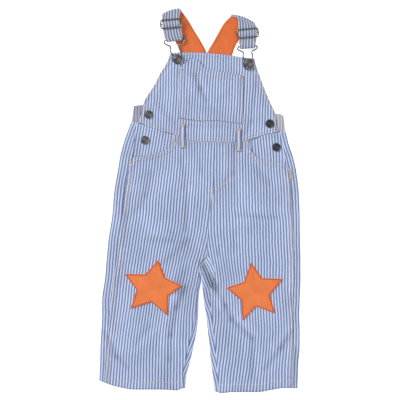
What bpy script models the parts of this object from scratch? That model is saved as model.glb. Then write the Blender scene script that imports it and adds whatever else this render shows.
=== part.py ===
"""Toddler's hickory stripe dungarees, laid flat on their back with the front up.

Every size below is in millimetres and becomes metres where a mesh is made. +X is the
viewer's right, +Y runs from the hems to the shoulders, and +Z is up from the surface
that the garment lies on. Left and right are the viewer's.
"""

import math
from bisect import bisect_right
from functools import partial

import bmesh
import bpy
from mathutils import Vector

MM = 0.001
LEFT = -1
RIGHT = 1
SIDE_NAME = {LEFT: "left", RIGHT: "right"}

# Cloth
WALL = 1.0
SEAM = 0.3
LAP = 0.4
RISE = 4.0
PUFF = 0.9
FOLD_REACH = 2.4
HIP_DROP = 1.5
LOWEST_TOP = 3.2
HIGHEST_TOP = 5.8

# Levels that the rows of a panel bend towards at its upper and lower edges
BACK_WAIST_Y = 125.4
HEM_Y = -311.9
WAIST_BEND = 35.0
HEM_BEND = 40.0
CROTCH_Y = -90.0

# Outline of each leg, a row for each level down the garment
LEG_COLUMNS = ("y", "outer", "side_seam", "front_edge", "inner")
LEFT_LEG = [
    (128.7, -113.7, -105.2, 24.8, 12.7),
    (112.2, -120.3, -106.3, 24.8, 12.7),
    (92.4, -126.9, -107.9, 24.8, 12.7),
    (72.6, -131.9, -110.4, 24.8, 12.7),
    (52.8, -135.2, -116.8, 24.6, 12.7),
    (13.2, -141.8, -124.1, 20.6, 12.7),
    (-26.4, -145.1, -128.2, 15.5, 12.7),
    (-66.0, -151.3, -133.3, 12.5, 12.4),
    (-87.5, -153.3, -136.1, 11.7, 12.2),
    (-92.4, -153.8, -136.6, 8.0, 12.0),
    (-97.4, -154.3, -137.3, 5.4, 9.6),
    (-102.8, -154.8, -138.1, 1.0, 5.0),
    (-108.9, -155.1, -139.1, -2.5, 1.5),
    (-116.3, -155.6, -140.3, -1.8, 2.2),
    (-125.4, -156.6, -141.7, -1.2, 3.0),
    (-135.3, -157.9, -143.1, -2.4, 1.9),
    (-148.5, -160.1, -144.7, -5.0, -0.8),
    (-165.0, -161.6, -146.5, -6.6, -2.3),
    (-188.1, -161.6, -148.8, -8.6, -2.8),
    (-214.5, -162.9, -151.3, -12.7, -5.4),
    (-240.9, -164.5, -153.6, -19.3, -10.7),
    (-267.3, -164.9, -155.6, -24.3, -16.8),
    (-290.4, -166.0, -157.2, -29.0, -22.6),
    (-311.9, -166.2, -158.6, -30.5, -24.6),
]
RIGHT_LEG = [
    (128.7, 136.4, 125.8, 24.8, 12.7),
    (113.9, 141.0, 130.3, 24.8, 12.7),
    (92.4, 146.5, 136.6, 24.8, 12.7),
    (72.6, 153.1, 140.0, 24.8, 12.7),
    (52.8, 157.9, 144.4, 24.6, 12.7),
    (13.2, 162.8, 150.0, 20.6, 12.7),
    (-26.4, 164.5, 153.0, 15.5, 12.7),
    (-66.0, 164.9, 154.9, 12.5, 12.8),
    (-87.5, 165.5, 155.6, 11.7, 12.9),
    (-92.4, 165.7, 155.6, 14.6, 12.6),
    (-97.4, 165.7, 155.8, 17.4, 10.2),
    (-102.8, 165.7, 155.9, 20.2, 5.6),
    (-108.9, 165.8, 155.9, 22.8, 2.1),
    (-116.3, 165.8, 155.9, 25.0, 2.8),
    (-125.4, 165.8, 155.8, 25.0, 3.6),
    (-135.3, 165.7, 155.4, 21.8, 3.6),
    (-148.5, 165.1, 154.6, 17.8, 4.3),
    (-165.0, 164.5, 153.9, 17.2, 5.8),
    (-188.1, 163.7, 153.6, 19.6, 9.7),
    (-214.5, 164.5, 153.6, 22.3, 12.7),
    (-240.9, 164.4, 153.8, 25.1, 15.3),
    (-267.3, 162.3, 153.1, 26.7, 18.0),
    (-290.4, 161.4, 152.6, 29.4, 21.0),
    (-311.9, 160.7, 152.3, 30.9, 23.8),
]

# Where a front panel's rows meet its side seam and its centre seam or inseam
FRONT_COLUMNS = ("side_y", "inner_y")
FRONT_LEVELS = [
    (57.8, 5.0),
    (39.6, -13.2),
    (16.5, -31.4),
    (-8.3, -49.5),
    (-34.7, -66.0),
    (-59.4, -79.0),
    (-75.9, -87.5),
    (-86.6, -92.4),
    (-94.0, -97.4),
    (-101.5, -102.8),
    (-108.9, -108.9),
    (-117.2, -116.3),
    (-127.1, -125.4),
    (-137.8, -135.3),
    (-151.8, -148.5),
    (-170.8, -165.0),
    (-191.4, -188.1),
    (-211.2, -211.2),
    (-231.0, -231.0),
    (-250.8, -250.8),
    (-270.6, -270.6),
    (-290.4, -290.4),
    (HEM_Y, HEM_Y),
]

# Curved pocket openings, from the waist seam down to the side seam, and the level at
# which the front panel's row from each point meets the centre seam
OPENING_COLUMNS = ("x", "y", "inner_y")
LEFT_OPENING = [
    (-43.6, 109.6, 96.0),
    (-44.2, 100.7, 87.5),
    (-46.2, 91.6, 77.6),
    (-54.3, 85.0, 66.0),
    (-70.3, 77.7, 54.5),
    (-86.5, 73.3, 42.9),
    (-101.5, 71.9, 31.4),
    (-110.6, 70.9, 19.8),
]
RIGHT_OPENING = [
    (80.9, 100.2, 96.0),
    (82.2, 90.8, 87.5),
    (85.8, 80.9, 77.6),
    (92.4, 72.6, 66.0),
    (101.8, 66.5, 54.5),
    (114.5, 64.2, 42.9),
    (128.0, 62.4, 31.4),
    (141.6, 61.0, 19.8),
]

# Hip pieces, a row for each strip from the waist seam to the hidden lower edge
HIP_COLUMNS = ("top_x", "low_x", "low_y")
LEFT_HIP = [
    (-99.6, -113.3, 63.5),
    (-88.0, -96.0, 64.0),
    (-76.0, -81.0, 66.5),
    (-64.0, -66.5, 71.0),
    (-53.0, -53.0, 77.5),
    (-44.0, -42.5, 86.5),
    (-36.0, -37.0, 98.0),
]
RIGHT_HIP = [
    (128.3, 144.0, 53.5),
    (119.0, 130.0, 54.5),
    (110.0, 116.0, 56.5),
    (101.0, 103.0, 58.5),
    (92.0, 91.0, 64.0),
    (83.0, 80.5, 73.5),
    (74.5, 75.0, 87.0),
]

# Edges that run across the garment
EDGE_COLUMNS = ("x", "y")
WAIST_SEAM = [
    (-100.8, 129.9),
    (-86.5, 122.9),
    (-68.0, 115.8),
    (-52.3, 111.7),
    (-38.1, 107.6),
    (-16.7, 98.6),
    (3.5, 96.3),
    (27.1, 96.0),
    (54.9, 95.5),
    (69.3, 96.2),
    (83.3, 101.0),
    (96.5, 104.4),
    (106.4, 108.4),
    (120.1, 110.8),
    (128.7, 113.0),
]
BACK_WAIST = [(-113.0, 128.7), (140.7, 113.9)]
LEFT_HEM = [
    (-165.5, -296.7),
    (-158.6, -299.6),
    (-145.2, -304.4),
    (-125.1, -309.2),
    (-109.9, -311.4),
    (-60.0, -311.4),
    (-38.1, -312.8),
    (-30.5, -309.9),
    (-24.6, -308.9),
]
RIGHT_HEM = [
    (23.8, -314.2),
    (35.1, -317.2),
    (53.6, -315.6),
    (94.7, -315.6),
    (118.0, -311.9),
    (138.9, -309.0),
    (159.9, -309.4),
]
BIB_TOP = [
    (-48.7, 242.4),
    (-31.8, 244.2),
    (10.2, 243.2),
    (27.1, 241.6),
    (52.3, 239.1),
    (69.1, 236.0),
    (89.9, 234.2),
]
POCKET_TOP = [
    (-34.6, 217.4),
    (-23.9, 226.9),
    (-12.5, 234.0),
    (-3.0, 231.0),
    (5.8, 220.0),
    (14.0, 215.6),
    (30.5, 212.9),
    (43.7, 210.5),
    (71.6, 205.3),
]
POCKET_BOTTOM = [(-34.4, 135.0), (1.8, 130.4), (27.0, 131.0), (52.3, 128.2), (71.2, 125.6)]

# Bib, a row for each level: both side edges and the height of its top face there
BIB_COLUMNS = ("left_x", "left_y", "left_top", "right_x", "right_y", "right_top")
BIB = [
    (-48.7, 242.4, 1.5, 89.9, 234.2, 1.5),
    (-53.6, 231.0, 1.4, 91.5, 226.0, 1.4),
    (-58.6, 221.0, 1.4, 93.7, 218.0, 1.4),
    (-65.2, 211.0, 1.4, 97.5, 208.0, 1.4),
    (-75.1, 191.4, 1.6, 104.5, 188.5, 1.6),
    (-84.6, 176.5, 2.0, 110.6, 173.5, 1.9),
    (-91.8, 164.5, 2.5, 115.8, 161.0, 2.2),
    (-95.2, 154.0, 2.8, 122.4, 147.6, 2.7),
    (-96.6, 144.5, 3.0, 125.2, 135.5, 2.9),
    (-98.6, 136.0, 3.6, 127.2, 124.0, 3.5),
    (-99.9, 130.2, 4.0, 128.6, 113.3, 4.0),
]
BIB_MIDDLE_TOP = 3.95
BIB_DROOP = 16.0
BIB_ACROSS = (0.0, 5.0, 10.0, 16.0)
BIB_MIDDLE_STRIPS = 9

# Back bib and side tabs, flat outlines
BACK_BIB_OUTLINE = [
    (-23.9, 227.4),
    (-38.0, 211.0),
    (-56.0, 190.0),
    (-68.0, 171.0),
    (-78.1, 157.4),
    (-78.1, 127.0),
    (102.8, 116.4),
    (102.8, 144.0),
    (91.0, 171.0),
    (80.0, 190.0),
    (63.0, 211.0),
    (49.5, 227.4),
]
TAB_OUTLINE = {
    LEFT: [(-109.0, 156.2), (-94.9, 157.6), (-78.4, 157.4), (-78.4, 127.0), (-112.8, 129.1)],
    RIGHT: [(103.1, 143.8), (125.4, 143.4), (135.2, 141.9), (137.4, 138.9), (140.2, 118.8),
            (140.5, 114.3), (103.1, 116.4)],
}

# Straps: edge points of each run, then the top face's height on the front run
RUN_COLUMNS = ("left_x", "left_y", "right_x", "right_y")
BACK_RUN = {
    LEFT: [(-23.9, 227.7, 10.85, 227.7), (-31.5, 244.2, 10.4, 244.2),
           (-39.0, 259.0, 0.6, 263.6), (-46.2, 274.0, -9.0, 279.0), (-54.2, 289.2, -19.2, 296.6)],
    RIGHT: [(11.15, 227.7, 49.5, 227.7), (12.6, 245.0, 53.5, 241.7),
            (20.5, 259.0, 57.4, 253.0), (29.7, 275.4, 63.0, 263.6), (39.2, 291.8, 74.6, 276.2)],
}
SHOULDER_FOLD = {LEFT: (-63.6, 307.0, -32.4, 316.9), RIGHT: (52.0, 307.0, 91.0, 292.4)}
FOLD_BOW = {LEFT: 1.1, RIGHT: 2.8}
FRONT_RUN_COLUMNS = ("left_x", "left_y", "right_x", "right_y", "top")
FRONT_RUN = {
    LEFT: [(-62.4, 296.2, -34.6, 298.7, 7.5), (-61.1, 289.7, -33.6, 292.2, 9.5),
           (-61.0, 282.8, -32.2, 285.5, 7.5), (-60.4, 277.2, -30.0, 279.8, 7.7),
           (-58.4, 268.0, -29.0, 271.2, 8.0)],
    RIGHT: [(61.6, 298.6, 92.2, 288.0, 7.5),
            (63.6, 281.2, 92.9, 284.0, 7.5), (64.4, 274.1, 92.6, 276.5, 9.5),
            (64.4, 266.8, 92.6, 269.2, 7.5), (64.8, 261.4, 92.0, 263.4, 7.7),
            (65.6, 255.6, 91.0, 257.3, 8.0)],
}
HOOK_TURN = {LEFT: (-54.3, 260.7, -28.4, 264.3), RIGHT: (66.2, 249.2, 90.3, 250.8)}
RETURN_END = {LEFT: (-57.6, 275.0, -30.2, 277.6), RIGHT: (64.8, 261.0, 91.6, 262.8)}
SHOULDER_TOP = 7.5
HOOK_TOP = 8.0
RETURN_LEVEL = 2.6
LINING_INSET = WALL + SEAM

# Wire hardware
WIRE_RADIUS = 1.15
SLIDE_CENTRE = {LEFT: (-47.7, 290.9), RIGHT: (78.7, 275.3)}
SLIDE_TILT_DEG = 5.3
SLIDE_BAR_HALF = 13.4
SLIDE_END_REACH = 3.8
SLIDE_HALF_HEIGHT = 6.9
SLIDE_LEVEL = SHOULDER_TOP + SEAM + WIRE_RADIUS
SLIDE_BAR_DIP = 3.1
HOOK_LEVEL = 5.35
HOOK_COLUMNS = ("x", "y")
HOOK_WIRE = {
    LEFT: [(-52.5, 264.7), (-41.4, 266.3), (-30.6, 267.7), (-25.6, 267.2), (-25.4, 264.2),
           (-28.6, 260.0), (-33.2, 257.9), (-35.3, 254.9), (-34.2, 250.6), (-31.8, 244.4),
           (-30.0, 237.0), (-30.8, 229.6), (-37.4, 225.3), (-43.6, 229.4), (-44.6, 236.0),
           (-46.6, 241.7), (-48.9, 246.4), (-48.4, 251.0), (-50.6, 254.6), (-55.6, 256.6),
           (-58.4, 259.4), (-57.6, 263.2)],
    RIGHT: [(68.0, 253.4), (78.6, 254.4), (88.8, 254.9), (93.4, 254.2), (94.2, 251.4),
            (92.0, 248.8), (87.2, 246.8), (85.2, 243.6), (86.6, 238.6), (86.3, 231.8),
            (87.6, 225.6), (86.0, 218.8), (79.9, 215.6), (73.6, 218.8), (72.0, 225.6),
            (72.6, 231.2), (71.0, 237.8), (71.6, 242.8), (68.0, 245.9), (63.4, 247.8),
            (62.0, 250.4), (63.6, 252.9)],
}

# Buttons: turned profiles from the top of the middle down the outer side
BIB_BUTTON_AT = {LEFT: (-37.6, 233.3), RIGHT: (79.9, 225.9)}
BIB_BUTTON_HEAD = [(0.0, 2.7), (2.8, 2.6), (4.6, 2.0), (6.2, 2.3), (7.3, 1.7), (7.3, 0.7), (6.4, 0.0)]
BIB_BUTTON_POST_RADIUS = 2.4
SIDE_BUTTON_AT = {
    "upper_left": (-84.6, 141.7),
    "lower_left": (-90.8, 99.5),
    "upper_right": (115.0, 126.6),
    "lower_right": (125.9, 87.8),
}
SIDE_BUTTON = [(0.0, 2.0), (2.4, 1.9), (3.4, 1.4), (4.8, 2.3), (6.3, 2.1), (6.9, 1.3), (6.3, 0.3),
               (5.2, 0.0), (0.0, 0.0)]
BUTTON_STEPS = 16

# Belt loops and knee stars
BELT_LOOP = {LEFT: (-28.9, 125.6, 86.4), RIGHT: (63.7, 118.4, 80.6)}
BELT_LOOP_HALF_WIDTH = 4.1
BELT_LOOP_ARCH = 1.0
STAR_CENTRE = {LEFT: (-77.4, -145.7), RIGHT: (91.9, -152.0)}
STAR_CORNERS = {
    LEFT: [(8.9, 48.0), (19.7, 18.8), (48.2, 5.0), (25.0, -11.2), (24.2, -44.2),
           (-2.7, -21.6), (-37.2, -32.4), (-27.1, -1.4), (-46.8, 24.6), (-12.9, 24.1)],
    RIGHT: [(-8.2, 50.0), (10.2, 24.1), (45.0, 22.8), (22.6, -3.2), (31.2, -33.8),
            (0.2, -22.4), (-21.8, -45.6), (-24.0, -12.8), (-49.0, 8.2), (-19.6, 17.8)],
}
STAR_RINGS = (0.34, 0.68, 1.0)

# Largest folds in the front layer: a ridge where the height is positive, else a trough
FOLD_COLUMNS = ("x1", "y1", "x2", "y2", "height", "width")
FOLDS = [
    (-60.0, -50.0, -47.0, -62.0, 0.7, 14.0),
    (-54.0, -92.0, -18.0, -74.0, 1.1, 14.0),
    (-64.0, -80.0, -30.0, -62.0, -0.6, 14.0),
    (-41.0, -170.0, -44.0, -236.0, -0.8, 14.0),
    (-52.0, -230.0, -58.0, -305.0, 0.8, 15.0),
    (-30.0, -140.0, -38.0, -180.0, 0.8, 14.0),
    (76.0, -200.0, 100.0, -218.0, 0.8, 14.0),
    (102.0, -216.0, 103.0, -285.0, -0.8, 14.0),
    (112.0, -284.0, 138.0, -248.0, 0.8, 14.0),
    (41.0, -148.0, 38.0, -192.0, -0.8, 14.0),
    (30.0, -112.0, 52.0, -150.0, 0.8, 14.0),
    (64.0, -30.0, 140.0, -26.0, 0.5, 14.0),
    (-130.0, -20.0, -142.0, -110.0, 0.5, 15.0),
    (14.0, -118.0, 26.0, -150.0, -0.7, 14.0),
    (10.0, -30.0, 44.0, -84.0, 0.6, 15.0),
    (-5.8, 201.0, 7.4, 165.0, -0.35, 14.0),
    (-50.0, 190.0, -70.0, 150.0, 0.3, 15.0),
    (92.0, 195.0, 102.0, 150.0, 0.3, 15.0),
]

# Finish of each kind of piece: colour, roughness and metallic value
FINISHES = {
    "striped_cloth": ((0.42, 0.49, 0.68), 0.9, 0.0),
    "wrong_side_cloth": ((0.52, 0.5, 0.58), 0.92, 0.0),
    "orange_cloth": ((0.8, 0.19, 0.05), 0.85, 0.0),
    "dark_metal": ((0.16, 0.15, 0.14), 0.4, 0.9),
    "steel_wire": ((0.2, 0.2, 0.19), 0.35, 0.9),
}


class Curve:
    """A value along a line. Between two rows it never swings past them."""

    def __init__(self, pairs):
        pairs = sorted(pairs)
        self.keys = [key for key, _ in pairs]
        self.values = [value for _, value in pairs]
        steps = range(len(pairs) - 1)
        slopes = [(self.values[i + 1] - self.values[i]) / (self.keys[i + 1] - self.keys[i]) for i in steps]
        self.slopes = [slopes[0]]
        for before, after in zip(slopes, slopes[1:]):
            together = before * after > 0
            self.slopes.append(2 * before * after / (before + after) if together else 0.0)
        self.slopes.append(slopes[-1])

    def __call__(self, key):
        key = min(max(key, self.keys[0]), self.keys[-1])
        i = min(max(bisect_right(self.keys, key) - 1, 0), len(self.keys) - 2)
        span = self.keys[i + 1] - self.keys[i]
        t = (key - self.keys[i]) / span
        start = self.values[i] * (1 + 2 * t) * (1 - t) ** 2 + span * self.slopes[i] * t * (1 - t) ** 2
        end = self.values[i + 1] * t * t * (3 - 2 * t) + span * self.slopes[i + 1] * t * t * (t - 1)
        return start + end


def curves(columns, rows):
    """A curve for each column after the first, which is the key."""
    return {name: Curve([(row[0], row[i]) for row in rows]) for i, name in enumerate(columns) if i}


OPENING = {LEFT: LEFT_OPENING, RIGHT: RIGHT_OPENING}
LEG = {LEFT: curves(LEG_COLUMNS, LEFT_LEG), RIGHT: curves(LEG_COLUMNS, RIGHT_LEG)}
HEM = {LEFT: Curve(LEFT_HEM), RIGHT: Curve(RIGHT_HEM)}
WAIST = Curve(WAIST_SEAM)
BACK_WAIST_LINE = Curve(BACK_WAIST)


def mix(a, b, t):
    return a + (b - a) * t


def smooth(t):
    t = min(max(t, 0.0), 1.0)
    return t * t * (3 - 2 * t)


def spread(start, end, strips):
    """The ends of equal strips between two values."""
    return [mix(start, end, i / strips) for i in range(strips + 1)]


def folds_at(x, y):
    """Height of all the folds at a point. Each one is a soft ridge or trough along a line."""
    total = 0.0
    for x1, y1, x2, y2, height, width in FOLDS:
        along = ((x - x1) * (x2 - x1) + (y - y1) * (y2 - y1)) / ((x2 - x1) ** 2 + (y2 - y1) ** 2)
        along = min(max(along, 0.0), 1.0)
        away = math.hypot(x - mix(x1, x2, along), y - mix(y1, y2, along))
        total += height * math.exp(-((away / width) ** 2))
    return total


def crown(x, low, high):
    """1 in the middle of a width and 0 at both ends, flat over most of it."""
    share = min(max((x - low) / (high - low), 0.0), 1.0)
    return 1 - (2 * share - 1) ** 4


def front_top(x, y):
    """Height of the outer face of the trousers' front layer."""
    side = LEFT if x < (LEG[LEFT]["inner"](y) + LEG[RIGHT]["inner"](y)) / 2 else RIGHT
    outer = LEG[side]["outer"](y)
    inner = LEG[side]["inner"](y)
    whole = crown(x, LEG[LEFT]["outer"](y), LEG[RIGHT]["outer"](y))
    one_leg = crown(x, min(outer, inner), max(outer, inner))
    puff = PUFF * mix(whole, one_leg, smooth((-60.0 - y) / 60.0)) * smooth((90.0 - y) / 60.0)
    return min(max(RISE + puff + folds_at(x, y), LOWEST_TOP), HIGHEST_TOP)


def bent(y, x, side):
    """A row's level where it crosses x: its ends follow the back waist and the hem."""
    near_waist = smooth(1 - (BACK_WAIST_Y - y) / WAIST_BEND)
    near_hem = min(max(1 - (y - HEM_Y) / HEM_BEND, 0.0), 1.0)
    return y + near_waist * (BACK_WAIST_LINE(x) - BACK_WAIST_Y) + near_hem * (HEM[side](x) - HEM_Y)


def edge_x(side, column, y):
    """An outline column's x where the bent row reaches it."""
    curve = LEG[side][column]
    return curve(bent(y, curve(y), side))


def back_leg_row(side, y):
    """One row across a back panel's outer face: side seam, outer fold, underside, inner fold and
    inseam. Above the crotch it stops at the centre back seam, and the rest is None."""
    outer = edge_x(side, "outer", y)
    inner = edge_x(side, "inner", y)
    seam = edge_x(side, "side_seam", y) + side * SEAM / 2
    inseam = edge_x(side, "front_edge", y) - side * SEAM / 2
    folded = y < CROTCH_Y
    turns = [math.radians(a) for a in (90, 45, 0, -45, -90)]
    row = []

    def add(x, z):
        row.append((x, bent(y, x, side), z))

    arc_x = outer - side * FOLD_REACH
    top = front_top(arc_x, y)
    for x in spread(seam, arc_x, 2)[:-1]:
        add(x, front_top(x, y))
    for turn in turns:
        add(arc_x + side * FOLD_REACH * math.cos(turn), top / 2 * (1 + math.sin(turn)))
    if not folded:
        for x in spread(arc_x, inner + side * SEAM / 2, 3)[1:]:
            add(x, 0.0)
        return row + [None] * 7
    arc_x = inner + side * FOLD_REACH
    for x in spread(outer - side * FOLD_REACH, arc_x, 3)[1:-1]:
        add(x, 0.0)
    top = front_top(arc_x, y)
    for turn in reversed(turns):
        add(arc_x - side * FOLD_REACH * math.cos(turn), top / 2 * (1 + math.sin(turn)))
    for x in spread(arc_x, inseam, 3)[1:]:
        add(x, front_top(x, y))
    return row


def back_leg_rows(side, rows):
    """All rows of a back panel, with one more wherever two table rows are far apart."""
    levels = [BACK_WAIST_Y]
    for row in rows[1:]:
        gap = levels[-1] - row[0]
        if gap > 28:
            levels.append(levels[-1] - gap / 2)
        levels.append(row[0])
    return [back_leg_row(side, y) for y in levels]


def front_leg_rows(side, opening, strips):
    """Rows across a front panel, from the side to the centre seam or inseam."""
    ends = [((x, y), y_in) for x, y, y_in in opening]
    for y_side, y_in in FRONT_LEVELS:
        y = bent(y_side, LEG[side]["side_seam"](y_side), side)
        ends.append(((LEG[side]["side_seam"](y) - side * SEAM / 2, y), y_in))
    rows = []
    for number, ((x_side, y_side), y_in) in enumerate(ends):
        y_low = bent(y_in, LEG[side]["front_edge"](y_in), side)
        x_in = LEG[side]["front_edge"](y_low) + side * SEAM / 2
        row = []
        for share in spread(0.0, 1.0, strips):
            x = mix(x_side, x_in, share)
            y = mix(y_side, y_low, share)
            straight_waist = mix(WAIST(x_side), WAIST(x_in), share)
            y += max(1 - number / 4, 0.0) * (WAIST(x) - straight_waist)
            if y_side < HEM_Y + HEM_BEND:
                y = bent(mix(FRONT_LEVELS[number - len(opening)][0], y_in, share), x, side)
            if number == 0:
                y = WAIST(x) - SEAM / 2
            row.append((x, y, front_top(x, y)))
        rows.append(row)
    return rows


def hip_top(side, x, y):
    """Height of a hip piece's outer face. It meets the waist and side seams at the front's level
    and lies lower elsewhere, so that the front panel laps over it."""
    opening = OPENING[side]
    below_waist = smooth((WAIST(x) - y) / 10.0)
    from_side = smooth(abs(x - LEG[side]["side_seam"](y)) / 9.0)
    near_front_low = smooth((opening[-1][1] + 9.0 - y) / 7.0)
    near_front_top = smooth(1 + (12.0 - side * (x - opening[0][0])) / 7.0)
    drop = max(below_waist * from_side, near_front_low, near_front_top)
    return front_top(x, y) - HIP_DROP * drop


def hip_rows(side, strips, down):
    """Rows across a hip piece, from the waist seam to its hidden lower edge."""
    rows = []
    for share in spread(0.0, 1.0, down):
        row = []
        for number, (x_top, x_low, y_low) in enumerate(strips):
            y_top = WAIST(x_top) - SEAM / 2
            x = mix(x_top, x_low, share)
            y = mix(y_top, y_low, share)
            if number == 0:
                x = LEG[side]["side_seam"](y) - side * SEAM
            row.append((x, y, hip_top(side, x, y)))
        rows.append(row)
    return rows


def bib_top(x, y, row):
    """Height of the bib's outer face on one of its rows: it droops towards both side edges."""
    left_x, _, left_top, right_x, _, right_top = row
    from_left = smooth((x - left_x) / BIB_DROOP)
    from_right = smooth((right_x - x) / BIB_DROOP)
    middle = BIB_MIDDLE_TOP + folds_at(x, y)
    return mix(left_top, middle, from_left) + mix(right_top, middle, from_right) - middle


BIB_CURVES = {name: Curve([(i, row[n]) for i, row in enumerate(BIB)]) for n, name in enumerate(BIB_COLUMNS)}
BIB_TOP_EDGE = Curve(BIB_TOP)


def bib_row_values(place):
    """The bib's table row at a place between its rows, counted from the top."""
    return tuple(BIB_CURVES[name](place) for name in BIB_COLUMNS)


def bib_y(x, place, row):
    """A bib row's level at x: the first row follows the top edge and the last the waist seam."""
    left_x, left_y, _, right_x, right_y, _ = row
    share = (x - left_x) / (right_x - left_x)
    y = mix(left_y, right_y, share)
    near_top = max(1 - place / 2, 0.0)
    straight_top = mix(BIB_TOP_EDGE(left_x), BIB_TOP_EDGE(right_x), share)
    near_seam = smooth(1 - (len(BIB) - 1 - place) / 5)
    straight_seam = mix(WAIST(left_x), WAIST(right_x), share)
    y += near_top * (BIB_TOP_EDGE(x) - straight_top)
    return y + near_seam * (WAIST(x) + SEAM / 2 - straight_seam)


def bib_rows():
    rows = []
    for place in range(len(BIB)):
        row = bib_row_values(place)
        left_x, right_x = row[0], row[3]
        xs = [left_x + d for d in BIB_ACROSS[:-1]]
        xs += spread(left_x + BIB_ACROSS[-1], right_x - BIB_ACROSS[-1], BIB_MIDDLE_STRIPS)
        xs += [right_x - d for d in reversed(BIB_ACROSS[:-1])]
        points = []
        for x in xs:
            y = bib_y(x, place, row)
            points.append((x, y, bib_top(x, y, row)))
        rows.append(points)
    return rows


def bib_top_at(x, y):
    """Height of the bib's outer face at any point of it, from the row that crosses the point."""
    low, high = 0.0, len(BIB) - 1.0
    for _ in range(24):
        place = (low + high) / 2
        if bib_y(x, place, bib_row_values(place)) > y:
            low = place
        else:
            high = place
    return bib_top(x, y, bib_row_values(low))


def pocket_rows(across, down):
    """Rows of the bib pocket: the bib's own surface moved out, its upper left corner lifted."""
    top = Curve(POCKET_TOP)
    bottom = Curve(POCKET_BOTTOM)
    rows = []
    for share in spread(0.0, 1.0, down):
        row = []
        for step in spread(0.0, 1.0, across):
            x_top = mix(POCKET_TOP[0][0], POCKET_TOP[-1][0], step)
            x_low = mix(POCKET_BOTTOM[0][0], POCKET_BOTTOM[-1][0], step)
            x = mix(x_top, x_low, share)
            y = mix(top(x_top), bottom(x_low), share)
            lift = 2.4 * smooth(1 - share / 0.3) * math.exp(-(((x + 9.0) / 17.0) ** 2))
            row.append((x, y, bib_top_at(x, y) + LAP + WALL + lift))
        rows.append(row)
    return rows


def belt_loop_rows(side):
    """Rows down a belt loop, from the bib over the waist seam to the front panel."""
    x_mid, y_top, y_low = BELT_LOOP[side]
    rows = []
    for share in spread(0.0, 1.0, 6):
        y = mix(y_top, y_low, share)
        row = []
        for x in spread(x_mid - BELT_LOOP_HALF_WIDTH, x_mid + BELT_LOOP_HALF_WIDTH, 2):
            under = bib_top_at(x, y) if y > WAIST(x) else front_top(x, y)
            arch = BELT_LOOP_ARCH * math.sin(math.pi * share)
            row.append((x, y, max(under, RISE) + LAP + WALL + arch))
        rows.append(row)
    return rows


def across_line(line, columns, z, offset=(0.0, 0.0), bow=0.0):
    """Points across a strap between its two edges. A bow pushes the middle towards the shoulder."""
    left_x, left_y, right_x, right_y = line[:4]
    up = inward_of(line[:4], towards_hem=False)
    points = []
    for t in spread(0.0, 1.0, columns):
        push = 4 * bow * t * (1 - t)
        x = mix(left_x, right_x, t) + offset[0] + up[0] * push
        y = mix(left_y, right_y, t) + offset[1] + up[1] * push
        points.append((x, y, z))
    return points


def inward_of(line, towards_hem):
    """The unit vector across a fold line, towards the hem or towards the shoulder."""
    left_x, left_y, right_x, right_y = line
    long = math.hypot(right_x - left_x, right_y - left_y)
    across = ((right_y - left_y) / long, -(right_x - left_x) / long)
    return across if towards_hem else (-across[0], -across[1])


def strap_rows(side, inset, columns, round_hook):
    """Rows along a strap's outer face, or along a layer that lies inset inside it: up the back run,
    over the shoulder fold, down the front run and, for the outer layer, round the hook bar."""
    rows = [across_line(line, columns, inset) for line in BACK_RUN[side]]
    fold = SHOULDER_FOLD[side]
    down = inward_of(fold, towards_hem=True)
    half = SHOULDER_TOP / 2
    for degrees in range(0, 181, 36):
        turn = math.radians(degrees)
        back = half - (half - inset) * math.sin(turn)
        offset = (down[0] * back, down[1] * back)
        z = half - (half - inset) * math.cos(turn)
        rows.append(across_line(fold, columns, z, offset, FOLD_BOW[side]))
    rows += [across_line(line, columns, line[4] - inset) for line in FRONT_RUN[side]]
    if not round_hook:
        return rows
    line = HOOK_TURN[side]
    up = inward_of(line, towards_hem=False)
    half = (HOOK_TOP - RETURN_LEVEL) / 2
    middle = (HOOK_TOP + RETURN_LEVEL) / 2
    for degrees in range(0, 181, 36):
        turn = math.radians(degrees)
        back = half * (1 - math.sin(turn))
        offset = (up[0] * back, up[1] * back)
        rows.append(across_line(line, columns, middle + half * math.cos(turn), offset))
    rows.append(across_line(RETURN_END[side], columns, RETURN_LEVEL))
    return rows


def rounded_loop(points, steps):
    """Points on a smooth closed curve through the given ones."""
    count = len(points)
    out = []
    for i in range(count):
        p0, p1, p2, p3 = (Vector(points[(i + k) % count]) for k in (-1, 0, 1, 2))
        for step in range(steps):
            t = step / steps
            out.append(
                0.5 * (2 * p1 + (p2 - p0) * t + (2 * p0 - 5 * p1 + 4 * p2 - p3) * t * t
                       + (3 * p1 - p0 - 3 * p2 + p3) * t * t * t)
            )
    return out


def clear_scene():
    for obj in list(bpy.data.objects):
        bpy.data.objects.remove(obj, do_unlink=True)


def make_collection(name):
    collection = bpy.data.collections.new(name)
    bpy.context.scene.collection.children.link(collection)
    return collection


def make_material(name, finish):
    colour, roughness, metallic = FINISHES[finish]
    material = bpy.data.materials.new(name)
    material.use_nodes = True
    shader = material.node_tree.nodes["Principled BSDF"]
    shader.inputs["Base Color"].default_value = (*colour, 1.0)
    shader.inputs["Roughness"].default_value = roughness
    shader.inputs["Metallic"].default_value = metallic
    return material


def add_object(name, data, finish, collection):
    obj = bpy.data.objects.new(name, data)
    collection.objects.link(obj)
    data.materials.append(make_material(name + "_finish", finish))
    return obj


def thicken(obj, thickness):
    """Gives an open surface its wall, away from the side that its faces point to."""
    wall = obj.modifiers.new("wall", "SOLIDIFY")
    wall.thickness = thickness * MM
    wall.offset = -1.0
    wall.use_even_offset = True
    wall.use_quality_normals = True


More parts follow.
